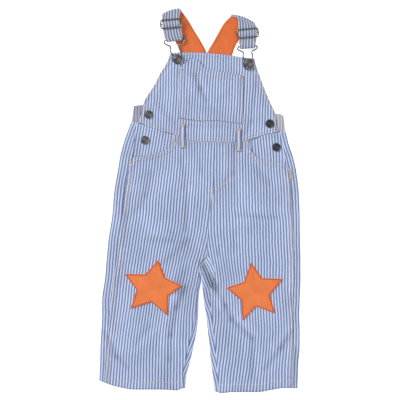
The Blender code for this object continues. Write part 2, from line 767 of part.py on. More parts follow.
def panel(name, rows, finish, collection, flip=True, thickness=WALL):
    """A cloth piece lofted through rows of points, with its wall. A None leaves a place open."""
    mesh = bpy.data.meshes.new(name)
    bm = bmesh.new()
    grid = [[bm.verts.new(Vector(p) * MM) if p else None for p in row] for row in rows]
    for upper, lower in zip(grid, grid[1:]):
        for i in range(len(upper) - 1):
            corners = [upper[i], upper[i + 1], lower[i + 1], lower[i]]
            if None in corners:
                continue
            bm.faces.new(corners[::-1] if flip else corners)
    bm.to_mesh(mesh)
    bm.free()
    mesh.shade_smooth()
    obj = add_object(name, mesh, finish, collection)
    thicken(obj, thickness)
    return obj


def plate(name, outline, finish, collection):
    """A flat piece that lies on the table."""
    curve = bpy.data.curves.new(name, "CURVE")
    curve.dimensions = "2D"
    curve.fill_mode = "BOTH"
    curve.extrude = WALL / 2 * MM
    spline = curve.splines.new("POLY")
    spline.points.add(len(outline) - 1)
    for point, (x, y) in zip(spline.points, outline):
        point.co = (x * MM, y * MM, 0.0, 1.0)
    spline.use_cyclic_u = True
    obj = add_object(name, curve, finish, collection)
    obj.location.z = WALL / 2 * MM
    return obj


def star(name, side, collection):
    """A knee patch: the front panel's surface moved out, inside a five pointed outline."""
    centre_x, centre_y = STAR_CENTRE[side]
    outline = STAR_CORNERS[side]
    edge = []
    for (ax, ay), (bx, by) in zip(outline, outline[1:] + outline[:1]):
        edge += [(ax, ay), ((ax + bx) / 2, (ay + by) / 2)]
    mesh = bpy.data.meshes.new(name)
    bm = bmesh.new()

    def vertex(dx, dy):
        x, y = centre_x + dx, centre_y + dy
        return bm.verts.new(Vector((x, y, front_top(x, y) + LAP + WALL)) * MM)

    middle = vertex(0.0, 0.0)
    rings = [[vertex(dx * size, dy * size) for dx, dy in edge] for size in STAR_RINGS]
    count = len(edge)
    for i in range(count):
        bm.faces.new((middle, rings[0][(i + 1) % count], rings[0][i]))
        for inside, outside in zip(rings, rings[1:]):
            j = (i + 1) % count
            bm.faces.new((inside[i], inside[j], outside[j], outside[i]))
    bm.to_mesh(mesh)
    bm.free()
    mesh.shade_smooth()
    obj = add_object(name, mesh, "orange_cloth", collection)
    thicken(obj, WALL)
    return obj


def turned(name, profile, place, finish, collection):
    """A round piece turned about its own upright axis."""
    mesh = bpy.data.meshes.new(name)
    points = [(radius * MM, 0.0, z * MM) for radius, z in profile]
    mesh.from_pydata(points, [(i, i + 1) for i in range(len(points) - 1)], [])
    obj = add_object(name, mesh, finish, collection)
    obj.location = Vector(place) * MM
    screw = obj.modifiers.new("turn", "SCREW")
    screw.steps = BUTTON_STEPS
    screw.render_steps = BUTTON_STEPS
    screw.use_merge_vertices = True
    screw.merge_threshold = 0.00001
    screw.use_smooth_shade = True
    return obj


def highest_under(place, radius, height_at):
    """The highest point of the cloth under a round piece."""
    x, y = place
    around = [math.radians(a) for a in range(0, 360, 30)]
    heights = [height_at(x + radius * math.cos(a), y + radius * math.sin(a)) for a in around]
    return max(heights + [height_at(x, y)])


def wire(name, points, finish, collection, cyclic):
    """A bent wire through the given points."""
    curve = bpy.data.curves.new(name, "CURVE")
    curve.dimensions = "3D"
    curve.bevel_depth = WIRE_RADIUS * MM
    curve.bevel_resolution = 2
    curve.use_fill_caps = not cyclic
    spline = curve.splines.new("POLY")
    spline.points.add(len(points) - 1)
    for point, place in zip(spline.points, points):
        point.co = (*(Vector(place) * MM), 1.0)
    spline.use_cyclic_u = cyclic
    return add_object(name, curve, finish, collection)


def welded_copy(obj, collection, name):
    """The mesh that a curve makes, closed up, as an object of its own. The curve is removed."""
    graph = bpy.context.evaluated_depsgraph_get()
    mesh = bpy.data.meshes.new_from_object(obj.evaluated_get(graph))
    bm = bmesh.new()
    bm.from_mesh(mesh)
    bmesh.ops.remove_doubles(bm, verts=bm.verts, dist=0.00001)
    bm.to_mesh(mesh)
    bm.free()
    copy = bpy.data.objects.new(name, mesh)
    copy.matrix_world = obj.matrix_world
    bpy.data.objects.remove(obj, do_unlink=True)
    collection.objects.link(copy)
    return copy


def slide(name, side, collection, helpers):
    """A wire strap slide: a long loop over the strap, and a centre bar that dips under it."""
    centre_x, centre_y = SLIDE_CENTRE[side]
    tilt = math.radians(SLIDE_TILT_DEG)

    def placed(x, y, z):
        return (
            centre_x + x * math.cos(tilt) - y * math.sin(tilt),
            centre_y + x * math.sin(tilt) + y * math.cos(tilt),
            z,
        )

    loop = []
    for end in (1, -1):
        for degrees in range(-90, 91, 30):
            turn = math.radians(degrees)
            x = end * (SLIDE_BAR_HALF + SLIDE_END_REACH * math.sqrt(max(math.cos(turn), 0.0)))
            loop.append(placed(x, end * SLIDE_HALF_HEIGHT * math.sin(turn), SLIDE_LEVEL))
    low = SLIDE_LEVEL - SLIDE_BAR_DIP
    end_x = SLIDE_BAR_HALF + SLIDE_END_REACH
    bar = [placed(x, 0.0, z) for x, z in (
        (-end_x, SLIDE_LEVEL), (-end_x + 0.3, mix(SLIDE_LEVEL, low, 0.6)), (-end_x + 1.6, low),
        (0.0, low), (end_x - 1.6, low), (end_x - 0.3, mix(SLIDE_LEVEL, low, 0.6)), (end_x, SLIDE_LEVEL))]
    bpy.context.view_layer.update()
    bar = welded_copy(wire(name + "_bar", bar, "steel_wire", helpers, False), helpers, name + "_bar_mesh")
    frame = welded_copy(wire(name + "_loop", loop, "steel_wire", helpers, True), collection, name)
    frame.data.shade_smooth()
    bar.hide_render = True
    bar.display_type = "WIRE"
    join = frame.modifiers.new("join", "BOOLEAN")
    join.operation = "UNION"
    join.solver = "EXACT"
    join.object = bar
    return frame


def make_cloth(collection):
    legs = {LEFT: (LEFT_LEG, LEFT_OPENING, LEFT_HIP), RIGHT: (RIGHT_LEG, RIGHT_OPENING, RIGHT_HIP)}
    for side, (table, opening, strips) in legs.items():
        name = SIDE_NAME[side]
        rows = back_leg_rows(side, table)
        panel("back_leg_" + name, rows, "striped_cloth", collection, flip=side == RIGHT)
        rows = front_leg_rows(side, opening, 12)
        panel("front_leg_" + name, rows, "striped_cloth", collection, flip=side == LEFT)
        rows = hip_rows(side, strips, 6)
        panel("hip_piece_" + name, rows, "striped_cloth", collection, flip=side == LEFT)
        panel("belt_loop_" + name, belt_loop_rows(side), "striped_cloth", collection)
        panel("strap_" + name, strap_rows(side, 0.0, 2, True), "striped_cloth", collection)
        rows = strap_rows(side, LINING_INSET, 2, False)
        panel("strap_lining_" + name, rows, "orange_cloth", collection)
        plate("side_tab_" + name, TAB_OUTLINE[side], "wrong_side_cloth", collection)
        star("star_" + name, side, collection)
    plate("back_bib", BACK_BIB_OUTLINE, "striped_cloth", collection)
    panel("bib_front", bib_rows(), "striped_cloth", collection)
    panel("bib_pocket", pocket_rows(9, 8), "striped_cloth", collection)


def make_hardware(collection, helpers):
    for side in (LEFT, RIGHT):
        name = SIDE_NAME[side]
        slide("slide_" + name, side, collection, helpers)
        path = rounded_loop([(x, y, HOOK_LEVEL) for x, y in HOOK_WIRE[side]], 2)
        wire("hook_" + name, path, "steel_wire", collection, True)
        place = BIB_BUTTON_AT[side]
        head = HOOK_LEVEL + WIRE_RADIUS + SEAM
        foot = highest_under(place, BIB_BUTTON_POST_RADIUS, bib_top_at) + SEAM - head
        profile = BIB_BUTTON_HEAD + [(BIB_BUTTON_POST_RADIUS, 0.0), (BIB_BUTTON_POST_RADIUS, foot), (0.0, foot)]
        turned("bib_button_" + name, profile, (*place, head), "dark_metal", collection)
    for name, place in SIDE_BUTTON_AT.items():
        side = LEFT if name.endswith("left") else RIGHT
        cloth = bib_top_at if name.startswith("upper") else partial(hip_top, side)
        reach = max(radius for radius, _ in SIDE_BUTTON)
        base = highest_under(place, reach, cloth) + 2 * SEAM
        turned("side_button_" + name, SIDE_BUTTON, (*place, base), "dark_metal", collection)


def main():
    clear_scene()
    collection = make_collection("dungarees")
    helpers = make_collection("helpers")
    make_cloth(collection)
    make_hardware(collection, helpers)


main()
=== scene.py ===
"""Looks of a toddler's hickory stripe dungarees, laid flat on their back with the front up.

Sizes are in millimetres and become metres where a mesh is made. +X is the viewer's right,
+Y runs from the hems to the shoulders, and +Z is up. Left and right are the viewer's.
"""

import math
from bisect import bisect_right

import bpy
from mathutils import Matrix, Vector


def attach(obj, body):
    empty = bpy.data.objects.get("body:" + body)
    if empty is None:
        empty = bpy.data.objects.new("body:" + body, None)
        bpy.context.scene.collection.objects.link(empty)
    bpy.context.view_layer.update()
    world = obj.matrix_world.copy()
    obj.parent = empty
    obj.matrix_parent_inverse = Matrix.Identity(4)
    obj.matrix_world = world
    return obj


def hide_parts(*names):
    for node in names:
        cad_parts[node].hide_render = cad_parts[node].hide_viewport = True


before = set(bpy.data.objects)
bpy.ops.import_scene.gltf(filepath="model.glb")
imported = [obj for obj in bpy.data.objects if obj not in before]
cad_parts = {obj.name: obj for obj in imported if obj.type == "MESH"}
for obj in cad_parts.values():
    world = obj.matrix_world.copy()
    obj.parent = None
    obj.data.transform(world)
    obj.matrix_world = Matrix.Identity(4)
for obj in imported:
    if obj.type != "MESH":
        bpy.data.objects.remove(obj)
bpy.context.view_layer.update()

MM = 0.001
LEFT = -1
RIGHT = 1
SIDE_NAME = {LEFT: "left", RIGHT: "right"}

# Cloth
WALL = 1.0
SEAM = 0.3
LAP = 0.4
RISE = 4.0
PUFF = 0.9
FOLD_REACH = 2.4
HIP_DROP = 1.5
LOWEST_TOP = 3.2
HIGHEST_TOP = 5.8

# Levels that the rows of a panel bend towards at its upper and lower edges
BACK_WAIST_Y = 125.4
HEM_Y = -311.9
WAIST_BEND = 35.0
HEM_BEND = 40.0
CROTCH_Y = -90.0

# Outline of each leg, a row for each level down the garment
LEG_COLUMNS = ("y", "outer", "side_seam", "front_edge", "inner")
LEFT_LEG = [
    (128.7, -113.7, -105.2, 24.8, 12.7),
    (112.2, -120.3, -106.3, 24.8, 12.7),
    (92.4, -126.9, -107.9, 24.8, 12.7),
    (72.6, -131.9, -110.4, 24.8, 12.7),
    (52.8, -135.2, -116.8, 24.6, 12.7),
    (13.2, -141.8, -124.1, 20.6, 12.7),
    (-26.4, -145.1, -128.2, 15.5, 12.7),
    (-66.0, -151.3, -133.3, 12.5, 12.4),
    (-87.5, -153.3, -136.1, 11.7, 12.2),
    (-92.4, -153.8, -136.6, 8.0, 12.0),
    (-97.4, -154.3, -137.3, 5.4, 9.6),
    (-102.8, -154.8, -138.1, 1.0, 5.0),
    (-108.9, -155.1, -139.1, -2.5, 1.5),
    (-116.3, -155.6, -140.3, -1.8, 2.2),
    (-125.4, -156.6, -141.7, -1.2, 3.0),
    (-135.3, -157.9, -143.1, -2.4, 1.9),
    (-148.5, -160.1, -144.7, -5.0, -0.8),
    (-165.0, -161.6, -146.5, -6.6, -2.3),
    (-188.1, -161.6, -148.8, -8.6, -2.8),
    (-214.5, -162.9, -151.3, -12.7, -5.4),
    (-240.9, -164.5, -153.6, -19.3, -10.7),
    (-267.3, -164.9, -155.6, -24.3, -16.8),
    (-290.4, -166.0, -157.2, -29.0, -22.6),
    (-311.9, -166.2, -158.6, -30.5, -24.6),
]
RIGHT_LEG = [
    (128.7, 136.4, 125.8, 24.8, 12.7),
    (113.9, 141.0, 130.3, 24.8, 12.7),
    (92.4, 146.5, 136.6, 24.8, 12.7),
    (72.6, 153.1, 140.0, 24.8, 12.7),
    (52.8, 157.9, 144.4, 24.6, 12.7),
    (13.2, 162.8, 150.0, 20.6, 12.7),
    (-26.4, 164.5, 153.0, 15.5, 12.7),
    (-66.0, 164.9, 154.9, 12.5, 12.8),
    (-87.5, 165.5, 155.6, 11.7, 12.9),
    (-92.4, 165.7, 155.6, 14.6, 12.6),
    (-97.4, 165.7, 155.8, 17.4, 10.2),
    (-102.8, 165.7, 155.9, 20.2, 5.6),
    (-108.9, 165.8, 155.9, 22.8, 2.1),
    (-116.3, 165.8, 155.9, 25.0, 2.8),
    (-125.4, 165.8, 155.8, 25.0, 3.6),
    (-135.3, 165.7, 155.4, 21.8, 3.6),
    (-148.5, 165.1, 154.6, 17.8, 4.3),
    (-165.0, 164.5, 153.9, 17.2, 5.8),
    (-188.1, 163.7, 153.6, 19.6, 9.7),
    (-214.5, 164.5, 153.6, 22.3, 12.7),
    (-240.9, 164.4, 153.8, 25.1, 15.3),
    (-267.3, 162.3, 153.1, 26.7, 18.0),
    (-290.4, 161.4, 152.6, 29.4, 21.0),
    (-311.9, 160.7, 152.3, 30.9, 23.8),
]

# Where a front panel's rows meet its side seam and its centre seam or inseam
# Columns: side_y, inner_y
FRONT_LEVELS = [
    (57.8, 5.0),
    (39.6, -13.2),
    (16.5, -31.4),
    (-8.3, -49.5),
    (-34.7, -66.0),
    (-59.4, -79.0),
    (-75.9, -87.5),
    (-86.6, -92.4),
    (-94.0, -97.4),
    (-101.5, -102.8),
    (-108.9, -108.9),
    (-117.2, -116.3),
    (-127.1, -125.4),
    (-137.8, -135.3),
    (-151.8, -148.5),
    (-170.8, -165.0),
    (-191.4, -188.1),
    (-211.2, -211.2),
    (-231.0, -231.0),
    (-250.8, -250.8),
    (-270.6, -270.6),
    (-290.4, -290.4),
    (HEM_Y, HEM_Y),
]

# Curved pocket openings, from the waist seam down to the side seam, and the level at
# which the front panel's row from each point meets the centre seam
# Columns: x, y, inner_y
LEFT_OPENING = [
    (-43.6, 109.6, 96.0),
    (-44.2, 100.7, 87.5),
    (-46.2, 91.6, 77.6),
    (-54.3, 85.0, 66.0),
    (-70.3, 77.7, 54.5),
    (-86.5, 73.3, 42.9),
    (-101.5, 71.9, 31.4),
    (-110.6, 70.9, 19.8),
]
RIGHT_OPENING = [
    (80.9, 100.2, 96.0),
    (82.2, 90.8, 87.5),
    (85.8, 80.9, 77.6),
    (92.4, 72.6, 66.0),
    (101.8, 66.5, 54.5),
    (114.5, 64.2, 42.9),
    (128.0, 62.4, 31.4),
    (141.6, 61.0, 19.8),
]

# Hip pieces, a row for each strip from the waist seam to the hidden lower edge
# Columns: top_x, low_x, low_y
LEFT_HIP = [
    (-99.6, -113.3, 63.5),
    (-88.0, -96.0, 64.0),
    (-76.0, -81.0, 66.5),
    (-64.0, -66.5, 71.0),
    (-53.0, -53.0, 77.5),
    (-44.0, -42.5, 86.5),
    (-36.0, -37.0, 98.0),
]
RIGHT_HIP = [
    (128.3, 144.0, 53.5),
    (119.0, 130.0, 54.5),
    (110.0, 116.0, 56.5),
    (101.0, 103.0, 58.5),
    (92.0, 91.0, 64.0),
    (83.0, 80.5, 73.5),
    (74.5, 75.0, 87.0),
]

# Edges that run across the garment
# Columns: x, y
WAIST_SEAM = [
    (-100.8, 129.9),
    (-86.5, 122.9),
    (-68.0, 115.8),
    (-52.3, 111.7),
    (-38.1, 107.6),
    (-16.7, 98.6),
    (3.5, 96.3),
    (27.1, 96.0),
    (54.9, 95.5),
    (69.3, 96.2),
    (83.3, 101.0),
    (96.5, 104.4),
    (106.4, 108.4),
    (120.1, 110.8),
    (128.7, 113.0),
]
BACK_WAIST = [(-113.0, 128.7), (140.7, 113.9)]
LEFT_HEM = [
    (-165.5, -296.7),
    (-158.6, -299.6),
    (-145.2, -304.4),
    (-125.1, -309.2),
    (-109.9, -311.4),
    (-60.0, -311.4),
    (-38.1, -312.8),
    (-30.5, -309.9),
    (-24.6, -308.9),
]
RIGHT_HEM = [
    (23.8, -314.2),
    (35.1, -317.2),
    (53.6, -315.6),
    (94.7, -315.6),
    (118.0, -311.9),
    (138.9, -309.0),
    (159.9, -309.4),
]
BIB_TOP = [
    (-48.7, 242.4),
    (-31.8, 244.2),
    (10.2, 243.2),
    (27.1, 241.6),
    (52.3, 239.1),
    (69.1, 236.0),
    (89.9, 234.2),
]
POCKET_TOP = [
    (-34.6, 217.4),
    (-23.9, 226.9),
    (-12.5, 234.0),
    (-3.0, 231.0),
    (5.8, 220.0),
    (14.0, 215.6),
    (30.5, 212.9),
    (43.7, 210.5),
    (71.6, 205.3),
]
POCKET_BOTTOM = [(-34.4, 135.0), (1.8, 130.4), (27.0, 131.0), (52.3, 128.2), (71.2, 125.6)]

# Bib, a row for each level: both side edges and the height of its top face there
# Columns: left_x, left_y, left_top, right_x, right_y, right_top
BIB = [
    (-48.7, 242.4, 1.5, 89.9, 234.2, 1.5),
    (-53.6, 231.0, 1.4, 91.5, 226.0, 1.4),
    (-58.6, 221.0, 1.4, 93.7, 218.0, 1.4),
    (-65.2, 211.0, 1.4, 97.5, 208.0, 1.4),
    (-75.1, 191.4, 1.6, 104.5, 188.5, 1.6),
    (-84.6, 176.5, 2.0, 110.6, 173.5, 1.9),
    (-91.8, 164.5, 2.5, 115.8, 161.0, 2.2),
    (-95.2, 154.0, 2.8, 122.4, 147.6, 2.7),
    (-96.6, 144.5, 3.0, 125.2, 135.5, 2.9),
    (-98.6, 136.0, 3.6, 127.2, 124.0, 3.5),
    (-99.9, 130.2, 4.0, 128.6, 113.3, 4.0),
]
BIB_MIDDLE_TOP = 3.95
BIB_DROOP = 16.0

# Edges of the back bib down its two sides, and of the side tabs along their top and bottom
BACK_BIB_LEFT = [(-23.9, 227.4), (-38.0, 211.0), (-56.0, 190.0), (-68.0, 171.0), (-78.1, 157.4),
                 (-78.1, 127.0)]
BACK_BIB_RIGHT = [(49.5, 227.4), (63.0, 211.0), (80.0, 190.0), (91.0, 171.0), (102.8, 144.0), (102.8, 116.4)]
TAB_TOP = {
    LEFT: [(-109.0, 156.2), (-94.9, 157.6), (-78.4, 157.4)],
    RIGHT: [(103.1, 143.8), (125.4, 143.4), (135.2, 141.9), (137.4, 138.9)],
}
TAB_BOTTOM = {
    LEFT: [(-112.8, 129.1), (-78.4, 127.0)],
    RIGHT: [(103.1, 116.4), (140.5, 114.3), (140.2, 118.8)],
}
TAB_SEAM_X = {LEFT: -78.4, RIGHT: 103.1}
TAB_RISE = 1.9
TAB_RISE_OVER = 34.0

# Straps: edge points of each run, then the top face's height on the front run
# Columns: left_x, left_y, right_x, right_y
BACK_RUN = {
    LEFT: [(-23.9, 227.7, 10.85, 227.7), (-31.5, 244.2, 10.4, 244.2),
           (-39.0, 259.0, 0.6, 263.6), (-46.2, 274.0, -9.0, 279.0), (-54.2, 289.2, -19.2, 296.6)],
    RIGHT: [(11.15, 227.7, 49.5, 227.7), (12.6, 245.0, 53.5, 241.7),
            (20.5, 259.0, 57.4, 253.0), (29.7, 275.4, 63.0, 263.6), (39.2, 291.8, 74.6, 276.2)],
}
SHOULDER_FOLD = {LEFT: (-63.6, 307.0, -32.4, 316.9), RIGHT: (52.0, 307.0, 91.0, 292.4)}
FOLD_BOW = {LEFT: 1.1, RIGHT: 2.8}
# Columns: left_x, left_y, right_x, right_y, top
FRONT_RUN = {
    LEFT: [(-62.4, 296.2, -34.6, 298.7, 7.5), (-61.1, 289.7, -33.6, 292.2, 9.5),
           (-61.0, 282.8, -32.2, 285.5, 7.5), (-60.4, 277.2, -30.0, 279.8, 7.7),
           (-58.4, 268.0, -29.0, 271.2, 8.0)],
    RIGHT: [(61.6, 298.6, 92.2, 288.0, 7.5),
            (63.6, 281.2, 92.9, 284.0, 7.5), (64.4, 274.1, 92.6, 276.5, 9.5),
            (64.4, 266.8, 92.6, 269.2, 7.5), (64.8, 261.4, 92.0, 263.4, 7.7),
            (65.6, 255.6, 91.0, 257.3, 8.0)],
}
HOOK_TURN = {LEFT: (-54.3, 260.7, -28.4, 264.3), RIGHT: (66.2, 249.2, 90.3, 250.8)}
RETURN_END = {LEFT: (-57.6, 275.0, -30.2, 277.6), RIGHT: (64.8, 261.0, 91.6, 262.8)}
SHOULDER_TOP = 7.5
HOOK_TOP = 8.0
RETURN_LEVEL = 2.6
LINING_INSET = WALL + SEAM

# Wire hardware
WIRE_RADIUS = 1.15
SLIDE_CENTRE = {LEFT: (-47.7, 290.9), RIGHT: (78.7, 275.3)}
SLIDE_TILT_DEG = 5.3
SLIDE_BAR_HALF = 13.4
SLIDE_END_REACH = 3.8
SLIDE_HALF_HEIGHT = 6.9
SLIDE_LEVEL = SHOULDER_TOP + SEAM + WIRE_RADIUS
SLIDE_BAR_DIP = 3.1
HOOK_LEVEL = 5.35
# Columns: x, y
HOOK_WIRE = {
    LEFT: [(-52.5, 264.7), (-41.4, 266.3), (-30.6, 267.7), (-25.6, 267.2), (-25.4, 264.2),
           (-28.6, 260.0), (-33.2, 257.9), (-35.3, 254.9), (-34.2, 250.6), (-31.8, 244.4),
           (-30.0, 237.0), (-30.8, 229.6), (-37.4, 225.3), (-43.6, 229.4), (-44.6, 236.0),
           (-46.6, 241.7), (-48.9, 246.4), (-48.4, 251.0), (-50.6, 254.6), (-55.6, 256.6),
           (-58.4, 259.4), (-57.6, 263.2)],
    RIGHT: [(68.0, 253.4), (78.6, 254.4), (88.8, 254.9), (93.4, 254.2), (94.2, 251.4),
            (92.0, 248.8), (87.2, 246.8), (85.2, 243.6), (86.6, 238.6), (86.3, 231.8),
            (87.6, 225.6), (86.0, 218.8), (79.9, 215.6), (73.6, 218.8), (72.0, 225.6),
            (72.6, 231.2), (71.0, 237.8), (71.6, 242.8), (68.0, 245.9), (63.4, 247.8),
            (62.0, 250.4), (63.6, 252.9)],
}

# Buttons: turned profiles from the top of the middle down the outer side
BIB_BUTTON_AT = {LEFT: (-37.6, 233.3), RIGHT: (79.9, 225.9)}
BIB_BUTTON_HEAD = [(0.0, 2.7), (2.8, 2.6), (4.6, 2.0), (6.2, 2.3), (7.3, 1.7), (7.3, 0.7), (6.4, 0.0)]
BIB_BUTTON_POST_RADIUS = 2.4
SIDE_BUTTON_AT = {
    "upper_left": (-84.6, 141.7),
    "lower_left": (-90.8, 99.5),
    "upper_right": (115.0, 126.6),
    "lower_right": (125.9, 87.8),
}
SIDE_BUTTON = [(0.0, 2.0), (2.4, 1.9), (3.4, 1.4), (4.8, 2.3), (6.3, 2.1), (6.9, 1.3), (6.3, 0.3),
               (5.2, 0.0), (0.0, 0.0)]

# Belt loops and knee stars
BELT_LOOP = {LEFT: (-28.9, 125.6, 86.4), RIGHT: (63.7, 118.4, 80.6)}
BELT_LOOP_HALF_WIDTH = 4.1
BELT_LOOP_ARCH = 1.0
STAR_CENTRE = {LEFT: (-77.4, -145.7), RIGHT: (91.9, -152.0)}
STAR_CORNERS = {
    LEFT: [(8.9, 48.0), (19.7, 18.8), (48.2, 5.0), (25.0, -11.2), (24.2, -44.2),
           (-2.7, -21.6), (-37.2, -32.4), (-27.1, -1.4), (-46.8, 24.6), (-12.9, 24.1)],
    RIGHT: [(-8.2, 50.0), (10.2, 24.1), (45.0, 22.8), (22.6, -3.2), (31.2, -33.8),
            (0.2, -22.4), (-21.8, -45.6), (-24.0, -12.8), (-49.0, 8.2), (-19.6, 17.8)],
}

# Largest folds in the front layer: a ridge where the height is positive, else a trough
# Columns: x1, y1, x2, y2, height, width
FOLDS = [
    (-60.0, -50.0, -47.0, -62.0, 0.7, 14.0),
    (-54.0, -92.0, -18.0, -74.0, 1.1, 14.0),
    (-64.0, -80.0, -30.0, -62.0, -0.6, 14.0),
    (-41.0, -170.0, -44.0, -236.0, -0.8, 14.0),
    (-52.0, -230.0, -58.0, -305.0, 0.8, 15.0),
    (-30.0, -140.0, -38.0, -180.0, 0.8, 14.0),
    (76.0, -200.0, 100.0, -218.0, 0.8, 14.0),
    (102.0, -216.0, 103.0, -285.0, -0.8, 14.0),
    (112.0, -284.0, 138.0, -248.0, 0.8, 14.0),
    (41.0, -148.0, 38.0, -192.0, -0.8, 14.0),
    (30.0, -112.0, 52.0, -150.0, 0.8, 14.0),
    (64.0, -30.0, 140.0, -26.0, 0.5, 14.0),
    (-130.0, -20.0, -142.0, -110.0, 0.5, 15.0),
    (14.0, -118.0, 26.0, -150.0, -0.7, 14.0),
    (10.0, -30.0, 44.0, -84.0, 0.6, 15.0),
    (-5.8, 201.0, 7.4, 165.0, -0.35, 14.0),
    (-50.0, 190.0, -70.0, 150.0, 0.3, 15.0),
    (92.0, 195.0, 102.0, 150.0, 0.3, 15.0),
]

# Narrow creases, in the same columns as the folds
CREASES = [
    (-24.0, -143.0, -38.8, -177.0, -1.2, 4.2),
    (-38.8, -177.0, -48.0, -222.0, -1.0, 4.6),
    (-48.0, -222.0, -50.0, -262.0, -0.8, 5.0),
    (-50.0, -262.0, -54.0, -304.0, -0.6, 4.5),
    (-43.0, -160.0, -49.0, -176.0, 1.1, 4.5),
    (-56.0, -190.0, -62.0, -240.0, 0.6, 6.0),
    (-33.0, -190.0, -40.0, -240.0, 0.7, 6.0),
    (-26.0, -118.0, -36.0, -150.0, -0.8, 7.0),
    (-22.0, -70.0, -54.0, -102.0, -0.7, 8.0),
    (-30.0, -88.0, -58.0, -110.0, 0.5, 6.0),
    (-51.0, -52.0, -17.0, -64.0, -0.5, 5.0),
    (-88.0, -64.0, -24.0, -70.0, -0.45, 5.0),
    (-84.0, -54.0, -20.0, -56.0, 0.15, 5.0),
    (-158.0, -216.0, -137.0, -258.0, -0.85, 4.4),
    (-137.0, -258.0, -119.0, -276.0, -0.7, 4.2),
    (-150.0, -212.0, -128.0, -250.0, 0.6, 6.0),
    (-106.0, -236.0, -82.0, -206.0, -0.5, 5.0),
    (-100.0, -244.0, -74.0, -214.0, 0.4, 6.0),
    (-22.3, 8.0, -22.3, -50.0, -0.9, 4.0),
    (-31.0, 70.0, -23.0, 16.0, -0.6, 4.5),
    (-14.0, 20.0, -15.0, -44.0, 0.5, 5.0),
    (1.0, 66.0, 3.0, 46.0, -0.6, 4.0),
    (-82.0, 42.0, -90.0, 8.0, -0.7, 6.5),
    (-90.0, 8.0, -104.0, -18.0, -0.5, 7.0),
    (-106.0, 46.0, -110.0, 20.0, 0.5, 8.0),
    (-54.0, 44.0, -60.0, 10.0, 0.3, 9.0),
    (-120.0, 30.0, -128.0, -20.0, -0.4, 5.0),
    (-98.0, -24.0, -76.0, -52.0, 0.4, 8.0),
    (56.5, 94.0, 56.5, 44.0, -1.0, 4.0),
    (56.5, 44.0, 58.0, 14.0, -0.5, 4.5),
    (64.0, 78.0, 66.0, 40.0, 0.5, 5.0),
    (61.0, -24.0, 126.0, -29.0, -0.6, 3.4),
    (64.0, -34.0, 132.0, -38.0, 0.25, 5.0),
    (90.0, -14.0, 140.0, -16.0, 0.4, 6.0),
    (58.0, -52.0, 57.0, -84.0, -0.5, 4.0),
    (34.0, -76.0, 30.0, -90.0, -0.8, 3.2),
    (37.0, -83.0, 34.0, -70.0, 0.6, 3.2),
    (1.0, -102.0, 10.0, -112.0, -1.2, 3.4),
    (5.0, -112.0, 20.0, -140.0, -1.5, 4.0),
    (15.0, -124.0, 24.0, -146.0, -1.3, 4.0),
    (12.0, -100.0, 26.0, -118.0, 0.9, 4.2),
    (24.0, -112.0, 30.0, -134.0, 0.8, 3.6),
    (9.0, -146.0, 18.0, -172.0, -0.9, 3.6),
    (24.0, -134.0, 42.0, -174.0, -1.1, 4.0),
    (42.0, -174.0, 52.0, -196.0, -1.0, 4.2),
    (52.0, -196.0, 87.0, -228.0, -1.0, 4.6),
    (87.0, -228.0, 86.0, -290.0, -0.65, 4.4),
    (34.0, -150.0, 34.0, -176.0, 0.8, 4.5),
    (66.0, -196.0, 94.0, -222.0, 0.8, 6.0),
    (78.0, -230.0, 76.0, -284.0, 0.5, 5.0),
    (97.0, -236.0, 98.0, -286.0, 0.6, 6.5),
    (152.0, -216.0, 134.0, -244.0, -0.85, 4.4),
    (134.0, -244.0, 107.0, -278.0, -0.75, 4.4),
    (144.0, -214.0, 122.0, -244.0, 0.6, 6.0),
    (158.0, -246.0, 158.0, -300.0, -0.6, 5.0),
    (148.0, -240.0, 150.0, -296.0, 0.5, 5.0),
    (141.0, -165.0, 149.0, -200.0, -0.5, 5.0),
    (66.0, 40.0, 76.0, 0.0, 0.4, 9.0),
    (92.0, 52.0, 112.0, 30.0, -0.5, 6.5),
    (112.0, 50.0, 130.0, 30.0, 0.5, 8.0),
    (-7.5, 206.0, 1.0, 184.0, -1.1, 4.0),
    (1.0, 184.0, 11.0, 164.0, -1.1, 4.0),
    (2.0, 204.0, 10.0, 184.0, 0.6, 5.5),
    (10.0, 182.0, 18.0, 162.0, 0.4, 5.5),
    (-22.0, 200.0, -12.0, 184.0, 0.4, 7.0),
    (94.0, 200.0, 84.0, 130.0, -0.6, 3.8),
    (84.0, 130.0, 76.0, 112.0, -0.6, 3.8),
    (101.0, 196.0, 92.0, 140.0, 0.3, 5.0),
    (-37.0, 206.0, -40.0, 152.0, -0.3, 3.6),
    (-45.0, 200.0, -50.0, 150.0, 0.2, 6.0),
    (-60.0, 198.0, -72.0, 160.0, -0.4, 7.0),
    (-64.0, 150.0, -40.0, 128.0, -0.45, 5.5),
    (-78.0, 160.0, -60.0, 136.0, 0.4, 6.0),
    (-26.0, 124.0, 50.0, 121.0, -0.35, 3.0),
    (-24.0, 114.0, 52.0, 112.0, 0.3, 4.0),
    (-36.0, 238.0, -20.0, 228.0, -0.6, 3.6),
    (20.0, 170.0, 44.0, 190.0, 0.35, 9.0),
    (10.0, 150.0, 40.0, 142.0, -0.3, 6.0),
]

